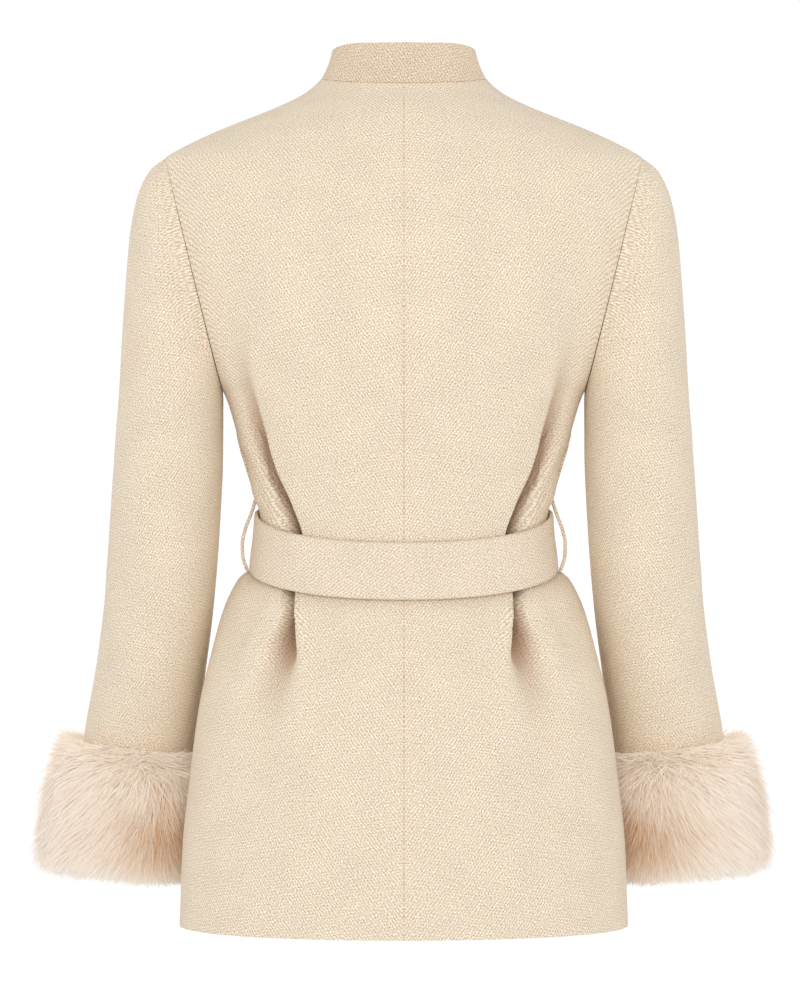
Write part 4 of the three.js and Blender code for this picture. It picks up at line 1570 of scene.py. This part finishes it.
@dataclass
class Knot:
    """The tied knot at the front, a soft lump with the wraps' grooves across it."""

    reach: float = 0.008
    height: float = -0.404
    half_width: float = 0.029
    half_height: float = 0.033
    thickness: float = 0.020
    stand_off: float = 0.0015
    cuts: int = 23
    flat: Pair = (0.049, 0.112)
    corner_loss: float = 0.1  # how far its corners draw in
    front_loss: float = 0.22  # how far its outline draws in at its front and back
    swell_loss: float = 0.45  # how much flatter it is at its outline
    taper: float = 0.12  # how much narrower it is at its top

    GROOVES = (
        Groove(0.0030, -0.55, 1, -0.34, 0.13),
        Groove(0.0034, -0.35, 1, 0.42, 0.12),
        Groove(0.0016, 1, 0.3, -0.1, 0.16, fade=0.4),
    )

    def place(self, x: float, y: float, z: float) -> Array:
        """Lays a point of the knot on the front of the belt.

        Args:
            x: its place across, from -1 to 1.
            y: its place up, from -1 to 1.
            z: its place out, from -1 at the belt to 1 at the front.

        Returns:
            The point.
        """
        rim = (1 - self.corner_loss * (x * y) ** 2) * (1 - self.front_loss * z**4)
        swell = 1 - self.swell_loss * max(abs(x), abs(y)) ** 3
        groove = sum(g.at(x, y) for g in self.GROOVES) if z > 0 else 0
        height = self.height + y * rim * self.half_height
        reach = self.reach + x * rim * self.half_width * (1 - self.taper * y)
        lift = EASE + BELT_CLOTH + self.stand_off + (z + 1) / 2 * self.thickness * swell - groove * swell
        return BodyForm.points(round(height, 6), Half.FRONT, reach, lift, folded=False)[0]

    def measure(self, x: float, y: float, z: float) -> Pair:
        """The cloth's own measure at a point of the knot, run on round its sides."""
        side = (1 - z) / 2 * self.thickness
        across = x * self.half_width + math.copysign(x**8 * side, x)
        return across, y * self.half_height + math.copysign(y**8 * side, y)

    def build(self, shop: Workshop) -> bpy.types.Object:
        """Shapes and dresses the knot.

        Args:
            shop: the finishes.

        Returns:
            The finished piece.
        """
        bpy.ops.object.select_all(action="DESELECT")
        bpy.ops.mesh.primitive_cube_add(size=2)
        piece = bpy.context.active_object
        piece.name = piece.data.name = "tied_knot"
        bpy.ops.object.mode_set(mode="EDIT")
        bpy.ops.mesh.select_all(action="SELECT")
        bpy.ops.mesh.subdivide(number_cuts=self.cuts)
        bpy.ops.object.mode_set(mode="OBJECT")
        places = np.array([v.co for v in piece.data.vertices])
        for vertex, place in zip(piece.data.vertices, places):
            vertex.co = self.place(*place)
        Bench.lay_map(piece, "UVMap", np.array([self.measure(*place) for place in places]))
        Bench.face_out(piece)
        register(piece, shop.belt_wool, "belt_cloth", "belt_knot")
        return piece


@dataclass
class Belt:
    """The belt of doubled cloth: its run round the waist, knot, hanging ends and loops."""

    half_height: float = 0.0245
    columns: int = 200
    round_flat: Pair = (0.71, 0.049)
    loop_flat: Pair = (0.0105, 0.066)
    loop_rows: int = 25
    loop_columns: int = 5
    loop_crown: float = 0.18  # how much thinner a loop is at its edges
    loop_edge: float = 0.0007
    end_top: float = -0.430
    end_gathered: float = 0.013  # half an end's width under the knot
    end_open: float = 0.022  # half its width where it is open
    end_spread: float = 0.090  # the length over which it opens
    end_ripple: float = 0.0022
    end_ripples: float = 2.2
    end_sway: float = 0.0006
    end_waves: Pair = (9, 1.3)  # how often it sways down its length and across it
    end_edge: float = 0.0016
    end_turned: float = 0.004  # the length of an end that turns over its lower edge
    end_rows: int = 60
    end_columns: int = 17

    PROFILE = Table(
        ("step", "up", "out"),
        (
            (0, -0.96, 0.14), (1, -0.45, 0.10), (2, 0.0, 0.10), (3, 0.45, 0.10),
            (4, 0.90, 0.12), (5, 1.0, 0.45), (6, 0.93, 0.86), (7, 0.80, 0.98), (8, 0.40, 1.0),
            (9, 0.0, 1.0), (10, -0.40, 1.0), (11, -0.90, 1.0), (12, -0.985, 0.93),
            (13, -1.0, 0.5),
        ),
    )
    LOOP_TOP = -0.362
    LOOP_BOTTOM = -0.4250
    LOOP_WIDTH = 0.007
    LOOP_THICKNESS = 0.0028
    LOOP_INSIDE = Table(
        ("height", "x"),
        (
            (LOOP_BOTTOM, 0.1345), (-0.421, 0.1362), (-0.412, 0.1388), (-0.401, 0.1392),
            (-0.388, 0.1366), (-0.377, 0.1325), (-0.370, 0.1300), (LOOP_TOP, 0.1276),
        ),
    )

    def waist(self, share: float, height: float, lift: float) -> Array:
        """A point round the waist.

        Args:
            share: how far round it is, from the middle of the back by way of the left side.
            height: its height at the side seam.
            lift: how far it stands off the coat.

        Returns:
            The point.
        """
        quarter = int(share * 4) % 4
        part = share * 4 - int(share * 4)
        half = Half.BACK if quarter in (0, 3) else Half.FRONT
        side = 1 if quarter < 2 else -1
        part = part if quarter in (0, 2) else 1 - part
        length = BodyForm.section(height, half).length
        return BodyForm.points(height, half, side * part * length, lift, folded=False)[0]

    def build_round(self, shop: Workshop) -> bpy.types.Object:
        """The belt's run round the waist.

        Args:
            shop: the finishes.

        Returns:
            The finished piece.
        """
        rings = []
        for share in np.arange(self.columns) / self.columns:
            ring = []
            for _, up, out in self.PROFILE.rows:
                ring.append(self.waist(share, WAIST + up * self.half_height, EASE + out * BELT_CLOTH))
            rings.append(ring)
        points = np.array(rings)
        run = running_length(np.concatenate([points, points[:1]]), 0)
        up = running_length(np.concatenate([points, points[:, :1]], axis=1), 1)
        run = np.concatenate([run, run[:, :1]], axis=1)
        up = np.concatenate([up, up[:1]])
        uv = np.stack([run.mean(axis=1, keepdims=True) + 0 * up, up], axis=-1)
        piece = Bench.ring("belt_round", points, uv)
        register(piece, shop.belt_wool, "belt_cloth", "belt")
        return piece

    def build_loop(self, shop: Workshop, side: Side) -> bpy.types.Object:
        """A narrow loop that bows out from the side seam, over the belt.

        Args:
            shop: the finishes.
            side: the side that it is on.

        Returns:
            The finished piece.
        """
        heights = np.linspace(self.LOOP_TOP, self.LOOP_BOTTOM, self.loop_rows)
        seam = BODY.read("half_width", heights) + SEAM_GAP
        inside = np.maximum(self.LOOP_INSIDE.read("x", heights), seam)
        width = np.linspace(-1, 1, self.loop_columns)
        across = width * self.LOOP_WIDTH / 2
        crown = self.LOOP_THICKNESS * (1 - self.loop_crown * width**4)
        points = np.zeros((self.loop_rows, self.loop_columns, 3))
        points[..., 0] = inside[:, None] + crown[None, :]
        points[..., 1] = across[None, :]
        points[..., 2] = heights[:, None]
        uv = np.stack([points[..., 1], -running_length(points, 0)], axis=-1)
        name = f"belt_loop_{side.word}"
        piece = Bench.sheet(f"carrier_{side.word}", Bench.mirror(points, side), uv)
        Bench.thicken(piece, self.LOOP_THICKNESS, self.loop_edge)
        Bench.measure_sides(piece)
        register(piece, shop.belt_wool, "belt_cloth", name)
        return piece

    def build_end(
        self, shop: Workshop, name: str, top: float, bottom: float, low: float
    ) -> bpy.types.Object:
        """A hanging end of the belt, laid on the front of the skirt.

        Args:
            shop: the finishes.
            name: the CAD node's name.
            top: the reach of its middle under the knot.
            bottom: the reach of its middle at its lower edge.
            low: the height of its lower edge.

        Returns:
            The finished piece.
        """
        across = np.linspace(-1, 1, self.end_columns)
        drop = self.end_top - low
        rows = []
        for height in np.linspace(self.end_top, low, self.end_rows):
            share = (self.end_top - height) / drop
            opened = smooth_step(self.end_top - height, 0, self.end_spread)
            half_width = self.end_gathered + (self.end_open - self.end_gathered) * opened
            reach = top + (bottom - top) * share + across * half_width
            ripple = self.end_ripple * (1 - opened) * np.cos(across * math.pi * self.end_ripples)
            sway = self.end_sway * np.sin(share * self.end_waves[0] + across * self.end_waves[1])
            lift = EASE + BELT_CLOTH + ripple + sway
            rows.append(BodyForm.points(height, Half.FRONT, reach, lift, folded=False))
        points = np.array(rows)
        measure = np.broadcast_to(across * self.end_open, points.shape[:2])
        uv = np.stack([measure, -running_length(points, 0)], axis=-1)
        piece = Bench.sheet(name.replace("belt_end", "tie_end"), points, uv)
        Bench.thicken(piece, BELT_CLOTH, self.end_edge, 3)
        register(piece, shop.belt_wool, "belt_cloth", name)
        return piece

    def build(self, shop: Workshop) -> None:
        """Builds the whole belt.

        Args:
            shop: the finishes.
        """
        for side in Side:
            self.build_loop(shop, side)
        self.build_round(shop)
        Knot().build(shop)
        self.build_end(shop, "belt_end_left", 0.024, 0.056, -0.696)
        self.build_end(shop, "belt_end_right", -0.009, -0.042, -0.725)


@dataclass
class FurCuff:
    """A deep cuff of long-haired fur round the end of a sleeve."""

    side: Side
    seed: int
    hairs: int = 17500
    layers: int = 2
    hair_radius: float = 0.00040
    radius_spread: Pair = (0.7, 1.25)
    tapered: float = 0.85  # a hair's width at its middle as a share of that at its root
    flattened: float = 0.7  # its height as a share of its width
    hair_roll: float = 0.22  # how far hairs are rolled about their length
    locks: int = 1100
    loose: float = 0.45  # the share of hairs that belong to no lock
    turn_spread: float = 3.4  # how far a lock's roots spread round the arm, in degrees
    height_spread: float = 0.0035  # how far they spread along it
    lock_pull: float = 0.26  # how far a lock's tips draw together in height
    lock_sink: float = 0.35  # how far that pull moves them in depth, as a share of it
    parting: float = 116.0  # the turn, and the one opposite it, from which the hairs lie away
    swirl: float = 0.85  # how far they turn from the arm's own line
    swirl_lost: float = 0.85  # the share of that which is lost at the top
    lock_swirl: float = 0.22
    hair_swirl: float = 0.16
    hair_stray: float = 0.12
    root_lie: float = 0.6  # how far a hair already lies over at its root
    tip_stray: float = 0.07
    short: float = 0.021  # a hair's length on the inner side
    longer: float = 0.016  # how much longer it is on the outer side
    length_spread: Pair = (0.78, 1.12)
    lock_length: float = 0.10  # how far the locks' lengths spread
    bend_slack: float = 1.15  # what its bend takes off a hair's length is given back
    tan_depth: float = 0.85
    tan_spread: Pair = (0.5, 1.2)
    lock_tan: float = 0.3  # how far the locks' shares of tan spread

    # How far the fur's outside stands off the sleeve on the arm's outer side, and round the arm
    REACH = Table(
        ("height", "reach"),
        (
            (-0.700, 0.008), (-0.695, 0.017), (-0.684, 0.025), (-0.666, 0.0315),
            (-0.640, 0.0325), (-0.612, 0.030), (-0.590, 0.027), (-0.575, 0.020),
            (-0.566, 0.008),
        ),
    )
    ROUND = Table(
        ("turn", "share"),
        (
            (0, 1), (45, 0.98), (90, 0.82), (135, 0.43), (180, 0.32), (225, 0.52), (270, 0.85),
            (315, 0.98), (360, 1),
        ),
    )
    PELT_SHARE = 0.34  # the pelt's own thickness, as a share of the reach
    PELT_LEAST = 0.0022
    PELT_TOP = -0.578
    PELT_LOW = -0.688
    PELT_COLUMNS = 72
    PELT_ROWS = 22
    PELT_RIMS = (-0.575, -0.691)
    PELT_INSIDE = (-0.690, -0.660, -0.620, -0.590, -0.577)
    PELT_GAP = 0.0009  # between the sleeve and the pelt's inside
    PELT_MAP = (0.1, 0.4)
    PELT_TINT = (0.45, 0.1, 0.5)

    # Heights of the roots, and the heights over which the fur changes at its upper and lower edge
    ROOTS = (PELT_LOW - 0.001, PELT_TOP + 0.002)
    ROOT_LIMITS = (PELT_LOW - 0.002, PELT_TOP + 0.003)
    TOP = (-0.612, -0.577)
    BOTTOM = (-0.692, -0.655)
    # How far a hair stands up at its root and at its tip: everywhere, more at the top, more at the bottom
    ROOT_RISE = (0.95, 0.5, -0.35)
    TIP_RISE = (0.16, 0.80, -0.10)
    # How far it lies down the sleeve, in the same three parts, and more at the outer side's top
    FALL = (1.0, -1.35, 0.2)
    OUTER_FALL = 0.25
    # How much shorter hairs are at the top, more so on the outer side, and at the bottom
    TOP_CUT = (0.30, 0.20)
    BOTTOM_CUT = 0.76
    # Tan patches: strength, turn and its spread, height and its spread
    PATCHES = ((1, 118, 26, -0.634, 0.028), (0.75, 152, 24, -0.640, 0.034))
    TAN_LOST = 0.8  # at the bottom
    # A hair's lightness, the spread of the locks' and of the hairs', and how much lighter the bottom is
    LIGHT = (0.5, 0.20, 0.22, 0.6)
    FLOW_STEP = (0.0015, 2)  # the height and the turn over which the sleeve's directions are read
    # A hair's three points along it, and where its colour is read for them
    STEPS = (0, 0.45, 1.0)
    COLOUR_STEPS = (0, 0.55, 1.0)
    # That colour's place at the root, and what the run to the tip and the cuff's bottom add
    ROOT_COLOUR = (0.25, 0.75, 0.5)

    def skin(self, height: Array, turn: Array) -> Array:
        """Points of the pelt's face."""
        reach = self.REACH.read("reach", height) * self.ROUND.read("share", turn % 360)
        return ArmForm.points(height, turn, np.maximum(reach * self.PELT_SHARE, self.PELT_LEAST))

    def build_pelt(self, shop: Workshop) -> bpy.types.Object:
        """The pelt that the hairs stand in, a ring round the sleeve's end.

        Args:
            shop: the finishes.

        Returns:
            The finished piece.
        """
        turn = 360 * np.arange(self.PELT_COLUMNS) / self.PELT_COLUMNS
        rim_top, rim_low = self.PELT_RIMS
        outer = [rim_top, *np.linspace(self.PELT_TOP, self.PELT_LOW, self.PELT_ROWS), rim_low]
        profiles = [self.skin(h + 0 * turn, turn) for h in outer]
        profiles += [ArmForm.points(h, turn, self.PELT_GAP) for h in self.PELT_INSIDE]
        points = np.array(profiles).transpose(1, 0, 2)
        rows, columns = points.shape[:2]
        width, length = self.PELT_MAP
        uv = np.meshgrid(np.linspace(0, width, columns + 1), np.linspace(0, length, rows + 1))
        name = f"fur_pelt_{self.side.word}"
        piece = Bench.ring(name, Bench.mirror(points, self.side), np.stack(uv, axis=-1))
        self.tint(piece, np.tile(self.PELT_TINT, (rows * columns, 1)))
        register(piece, shop.fur, "cuff_fur", f"fur_cuff_{self.side.word}")
        return piece

    @staticmethod
    def tint(piece: bpy.types.Object, values: Array) -> None:
        """Writes the tint that the fur's finish reads.

        Args:
            piece: the piece.
            values: each point's place along its hair, share of tan and lightness.
        """
        layer = piece.data.attributes.new("tint", "FLOAT_COLOR", "POINT")
        full = np.concatenate([values, np.ones((len(values), 1))], axis=1)
        layer.data.foreach_set("color", full.astype(np.float32).ravel())

    def flow(self, height: Array, turn: Array) -> tuple[Array, Array, Array]:
        """The directions that a hair at each root may take.

        Args:
            height: the roots' heights.
            turn: their turns.

        Returns:
            The outward direction, the direction down the sleeve, and the one round the arm.
        """
        step, angle = self.FLOW_STEP
        here = ArmForm.points(height, turn)
        down = unit(ArmForm.points(height - step, turn) - ArmForm.points(height + step, turn))
        around = unit(ArmForm.points(height, turn + angle) - ArmForm.points(height, turn - angle))
        out = unit(np.cross(around, down))
        axis = (ArmForm.points(height, turn * 0) + ArmForm.points(height, turn * 0 + 180)) / 2
        out *= np.sign((out * (here - axis)).sum(axis=-1, keepdims=True))
        return out, down, around

    def roots(self, rng: np.random.Generator) -> tuple[Array, Array, Array, Array]:
        """Spreads the roots of one piece over the pelt.

        Args:
            rng: the source of the hairs' unevenness.

        Returns:
            For each hair its turn, its height, the number of its lock, and whether it has none.
        """
        n = self.hairs
        lock_turn = rng.uniform(0, 360, self.locks)
        lock_height = rng.uniform(*self.ROOTS, self.locks)
        which = rng.integers(0, self.locks, n)
        alone = rng.uniform(0, 1, n) < self.loose
        turn = np.where(alone, rng.uniform(0, 360, n), lock_turn[which] + rng.normal(0, self.turn_spread, n))
        height = lock_height[which] + rng.normal(0, self.height_spread, n)
        height = np.where(alone, rng.uniform(*self.ROOTS, n), height)
        return turn, np.clip(height, *self.ROOT_LIMITS), which, alone

    @staticmethod
    def by_edge(amounts: tuple, top: Array, bottom: Array) -> Array:
        """An amount that changes at the fur's upper and lower edge."""
        return amounts[0] + amounts[1] * top + amounts[2] * bottom

    def gather(self, points: Array, which: Array, alone: Array) -> None:
        """Draws the tips of each lock together.

        Args:
            points: the hairs' three points, which it moves.
            which: the number of each hair's lock.
            alone: whether it has none.
        """
        tips = points[~alone, 2]
        count = np.maximum(np.bincount(which[~alone], minlength=self.locks), 1)
        middles = [np.bincount(which[~alone], tips[:, k], self.locks) / count for k in range(3)]
        pull = np.stack(middles, axis=-1)[which] - points[:, 2]
        pull *= np.where(alone, 0, self.lock_pull)[:, None]
        points[:, 2] += pull
        points[:, 1] += pull * self.lock_sink

    def tones(
        self, rng: np.random.Generator, turn: Array, height: Array, which: Array, bottom: Array
    ) -> Array:
        """Tints the hairs.

        Args:
            rng: the source of the hairs' unevenness.
            turn: the roots' turns.
            height: their heights.
            which: the number of each hair's lock.
            bottom: 1 at the lower edge, fading to 0 above it.

        Returns:
            Each hair's share of tan and its lightness.
        """
        n = self.hairs
        brown = 0
        for share, at_turn, wide, at_height, high in self.PATCHES:
            round_arm = np.exp(-(((turn % 360 - at_turn) / wide) ** 2))
            brown = brown + share * round_arm * np.exp(-(((height - at_height) / high) ** 2))
        brown = brown * rng.uniform(*self.tan_spread, n)
        brown *= 1 + rng.normal(0, self.lock_tan, self.locks)[which]
        brown *= self.tan_depth * (1 - self.TAN_LOST * bottom)
        even, lock_spread, hair_spread, lower = self.LIGHT
        light = even + rng.normal(0, lock_spread, self.locks)[which] + rng.normal(0, hair_spread, n)
        return np.clip(np.stack([brown, light + lower * bottom], axis=-1), 0, 1)

    def layer(self, rng: np.random.Generator) -> tuple[Array, Array, Array, Array]:
        """The hairs of one piece.

        Args:
            rng: the source of the hairs' unevenness.

        Returns:
            For each hair its three points, root to tip, its tint (tan and lightness), the
            outward direction at its root, and 1 at the lower edge, fading to 0 above it.
        """
        n = self.hairs
        turn, height, which, alone = self.roots(rng)
        root = self.skin(height, turn)
        out, down, around = self.flow(height, turn)
        share = self.ROUND.read("share", turn % 360)
        top = smooth_step(height, *self.TOP)
        bottom = 1 - smooth_step(height, *self.BOTTOM)
        lock_swirl = rng.normal(0, self.lock_swirl, self.locks)[which]
        swirl = np.sin(np.radians(2 * (turn - self.parting))) * self.swirl * (1 - self.swirl_lost * top)
        swirl = swirl + lock_swirl + rng.normal(0, self.hair_swirl, n)
        even, upper, lower = self.FALL
        fall = self.by_edge((even, upper + self.OUTER_FALL * share, lower), top, bottom)
        stray = self.hair_stray * rng.normal(0, 1, (n, 3))
        lie = unit(down * fall[:, None] + around * swirl[:, None] + stray)
        raise_root = self.by_edge(self.ROOT_RISE, top, bottom)
        raise_tip = self.by_edge(self.TIP_RISE, top, bottom) + rng.normal(0, self.tip_stray, n)
        start = unit(out * raise_root[:, None] + lie * self.root_lie)
        finish = unit(out * raise_tip[:, None] + lie)
        length = (self.short + self.longer * share) * rng.uniform(*self.length_spread, n)
        length *= rng.normal(1, self.lock_length, self.locks)[which]
        length *= (1 - (self.TOP_CUT[0] + self.TOP_CUT[1] * share) * top) * (1 - self.BOTTOM_CUT * bottom)
        points = self.strand(root, start, finish, length)
        self.gather(points, which, alone)
        return points, self.tones(rng, turn, height, which, bottom), out, bottom

    def strand(self, root: Array, start: Array, finish: Array, length: Array) -> Array:
        """Bends each hair from its start to its finish direction.

        Args:
            root: the hairs' roots.
            start: the directions in which they leave the pelt.
            finish: the directions of their tips.
            length: how long they are.

        Returns:
            Three points along each hair.
        """
        at = np.array(self.STEPS)
        along = at - 0.5 * at**2
        bend = 0.5 * at**2
        run = start[:, None, :] * along[None, :, None] + finish[:, None, :] * bend[None, :, None]
        return root[:, None, :] + run * length[:, None, None] * self.bend_slack

    def build_hairs(self, shop: Workshop, number: int) -> bpy.types.Object:
        """One piece of closed three-sided hairs.

        Args:
            shop: the finishes.
            number: the piece's number, which seeds its unevenness.

        Returns:
            The finished piece.
        """
        rng = np.random.default_rng(self.seed * 10 + number)
        lines, tints, outs, bottom = self.layer(rng)
        lines = Bench.mirror(lines, self.side)
        n = len(lines)
        along = unit(lines[:, 2] - lines[:, 0])
        outs = Bench.mirror(outs, self.side) + rng.normal(0, self.hair_roll, (n, 3))
        across = unit(np.cross(along, outs))
        up = np.cross(across, along)
        radius = self.hair_radius * rng.uniform(*self.radius_spread, n)
        rings = []
        for step, share in enumerate((1.0, self.tapered)):
            for ray in (across, -across, -self.flattened * up):
                rings.append(lines[:, step] + ray * (radius * share)[:, None])
        rings.append(lines[:, 2])
        points = np.stack(rings, axis=1)
        size = points.shape[1]
        quads = [(k, (k + 1) % 3, (k + 1) % 3 + 3, k + 3) for k in range(3)]
        triangles = [(k + 3, (k + 1) % 3 + 3, 6) for k in range(3)] + [(2, 1, 0)]
        base = (np.arange(n) * size)[:, None, None]
        quads = (base + np.array(quads)).reshape(-1, 4)
        triangles = (base + np.array(triangles)).reshape(-1, 3)
        name = f"fur_hair_{self.side.word}_{number + 1}"
        mesh = bpy.data.meshes.new(name)
        mesh.from_pydata(points.reshape(-1, 3).tolist(), [], quads.tolist() + triangles.tolist())
        piece = bpy.data.objects.new(name, mesh)
        bpy.context.scene.collection.objects.link(piece)
        place = np.repeat(self.COLOUR_STEPS, (3, 3, 1))
        values = np.zeros((n, size, 3))
        values[..., 0] = np.minimum(self.by_edge(self.ROOT_COLOUR, place, bottom[:, None]), 1)
        values[..., 1:] = tints[:, None, :]
        self.tint(piece, values.reshape(-1, 3))
        register(piece, shop.fur, "cuff_fur", f"fur_cuff_{self.side.word}")
        return piece

    def build(self, shop: Workshop) -> None:
        """Builds the pelt and its layers of hair.

        Args:
            shop: the finishes.
        """
        self.build_pelt(shop)
        for number in range(self.layers):
            self.build_hairs(shop, number)


@dataclass
class Studio:
    """A plain pale floor, soft light and the camera behind the coat."""

    frame_height: float = 0.870  # what the picture's height spans at the middle of the coat
    distance: float = 4.5
    aim: Place = (0.0033, 0.0, -0.3628)
    sensor: float = 36.0
    floor: float = -1.45
    floor_size: float = 8.0
    floor_grey: float = 0.86
    floor_roughness: float = 0.9
    seen: float = 1.05  # how bright the surroundings are in the picture
    cast: float = 1.06  # how brightly they light the coat from the side
    above: float = 0.72  # how brightly they light it from straight above
    light_aim: Place = (0.0, 0.0, -0.35)
    light_size: float = 2.4
    light_power: float = 25.0

    LIGHTS = {"key_back": (0.0, 3.4, 0.2), "key_front": (0.6, -3.4, 0.2)}

    def build_camera(self) -> None:
        """The level camera behind the coat."""
        data = bpy.data.cameras.new("camera")
        data.sensor_width = self.sensor
        data.lens = self.sensor * self.distance / self.frame_height
        data.clip_end = 100
        camera = bpy.data.objects.new("camera", data)
        camera.location = (self.aim[0], self.distance, self.aim[2])
        camera.rotation_euler = (math.pi / 2, 0, math.pi)
        bpy.context.scene.collection.objects.link(camera)
        bpy.context.scene.camera = camera

    def build_floor(self) -> None:
        """A plain pale floor, well below the hem."""
        bpy.ops.object.select_all(action="DESELECT")
        bpy.ops.mesh.primitive_plane_add(size=self.floor_size, location=(0, 0, self.floor))
        floor = bpy.context.active_object
        floor.name = "studio_floor"
        grey = (self.floor_grey, self.floor_grey, self.floor_grey, 1)
        settings = {"Base Color": grey, "Roughness": self.floor_roughness}
        paint, _, _ = ShaderKit.material("pale_floor", settings)
        floor.data.materials.append(paint)

    def build_light(self, name: str, place: Place) -> None:
        """A soft square light that faces the coat.

        Args:
            name: its name.
            place: where it stands.
        """
        data = bpy.data.lights.new(name, "AREA")
        data.shape = "SQUARE"
        data.size = self.light_size
        data.energy = self.light_power
        light = bpy.data.objects.new(name, data)
        light.location = place
        way = np.array(self.light_aim) - np.array(place)
        flat = math.hypot(way[0], way[1])
        light.rotation_euler = (math.atan2(flat, -way[2]), 0, math.atan2(-way[0], way[1]))
        bpy.context.scene.collection.objects.link(light)

    def build_world(self) -> None:
        """White surroundings, dimmer above, which the camera sees at a brightness of their own."""
        world = bpy.data.worlds.new("white_room")
        bpy.context.scene.world = world
        world.use_nodes = True
        tree = world.node_tree
        ground = tree.nodes["Background"]
        ground.inputs["Color"].default_value = (1, 1, 1, 1)
        way = tree.nodes.new("ShaderNodeTexCoord")
        up = ShaderKit.split(tree, way.outputs["Generated"])[2]
        dimmed = tree.nodes.new("ShaderNodeMapRange")
        dimmed.inputs["To Min"].default_value = self.cast
        dimmed.inputs["To Max"].default_value = self.above
        tree.links.new(up, dimmed.inputs["Value"])
        path = tree.nodes.new("ShaderNodeLightPath")
        share = tree.nodes.new("ShaderNodeMapRange")
        share.inputs["To Max"].default_value = self.seen
        tree.links.new(dimmed.outputs["Result"], share.inputs["To Min"])
        tree.links.new(path.outputs["Is Camera Ray"], share.inputs["Value"])
        tree.links.new(share.outputs["Result"], ground.inputs["Strength"])

    def build(self) -> None:
        """Builds the whole studio."""
        bpy.context.scene.view_settings.view_transform = "Standard"
        self.build_camera()
        self.build_floor()
        self.build_world()
        for name, place in self.LIGHTS.items():
            self.build_light(name, place)


class Coat:
    """The whole coat, built in the order in which it is sewn."""

    # Flat size, area and creases of each half's panels
    PANELS = {
        Half.BACK: ((0.275, 0.765), 0.163, BACK_CREASES),
        Half.FRONT: ((0.358, 0.765), 0.193, FRONT_CREASES),
    }
    FUR_SEEDS = {Side.LEFT: 7, Side.RIGHT: 8}

    def __init__(self, shop: Workshop) -> None:
        """Keeps the finishes that the pieces are dressed in."""
        self.shop = shop

    def build(self) -> None:
        """Builds every piece."""
        for half, (flat, area, creases) in self.PANELS.items():
            for side in Side:
                name = f"panel_{half.word}_{side.word}"
                under = UNDERLAP_DEPTH if (half, side) == (Half.FRONT, Side.LEFT) else 0.0
                Panel(name, half, side, flat, area, creases, under).build(self.shop)
        for side in Side:
            Sleeve(side).build(self.shop)
        Collar().build(self.shop)
        Belt().build(self.shop)
        for side, seed in self.FUR_SEEDS.items():
            FurCuff(side, seed).build(self.shop)


def main() -> None:
    """Loads the frame, builds the coat and the studio, and notes the sizes."""
    logging.basicConfig(level=logging.INFO, format="%(message)s")
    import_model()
    Studio().build()
    Coat(Workshop.open()).build()
    bpy.context.view_layer.update()


if __name__ == "__main__":
    main()
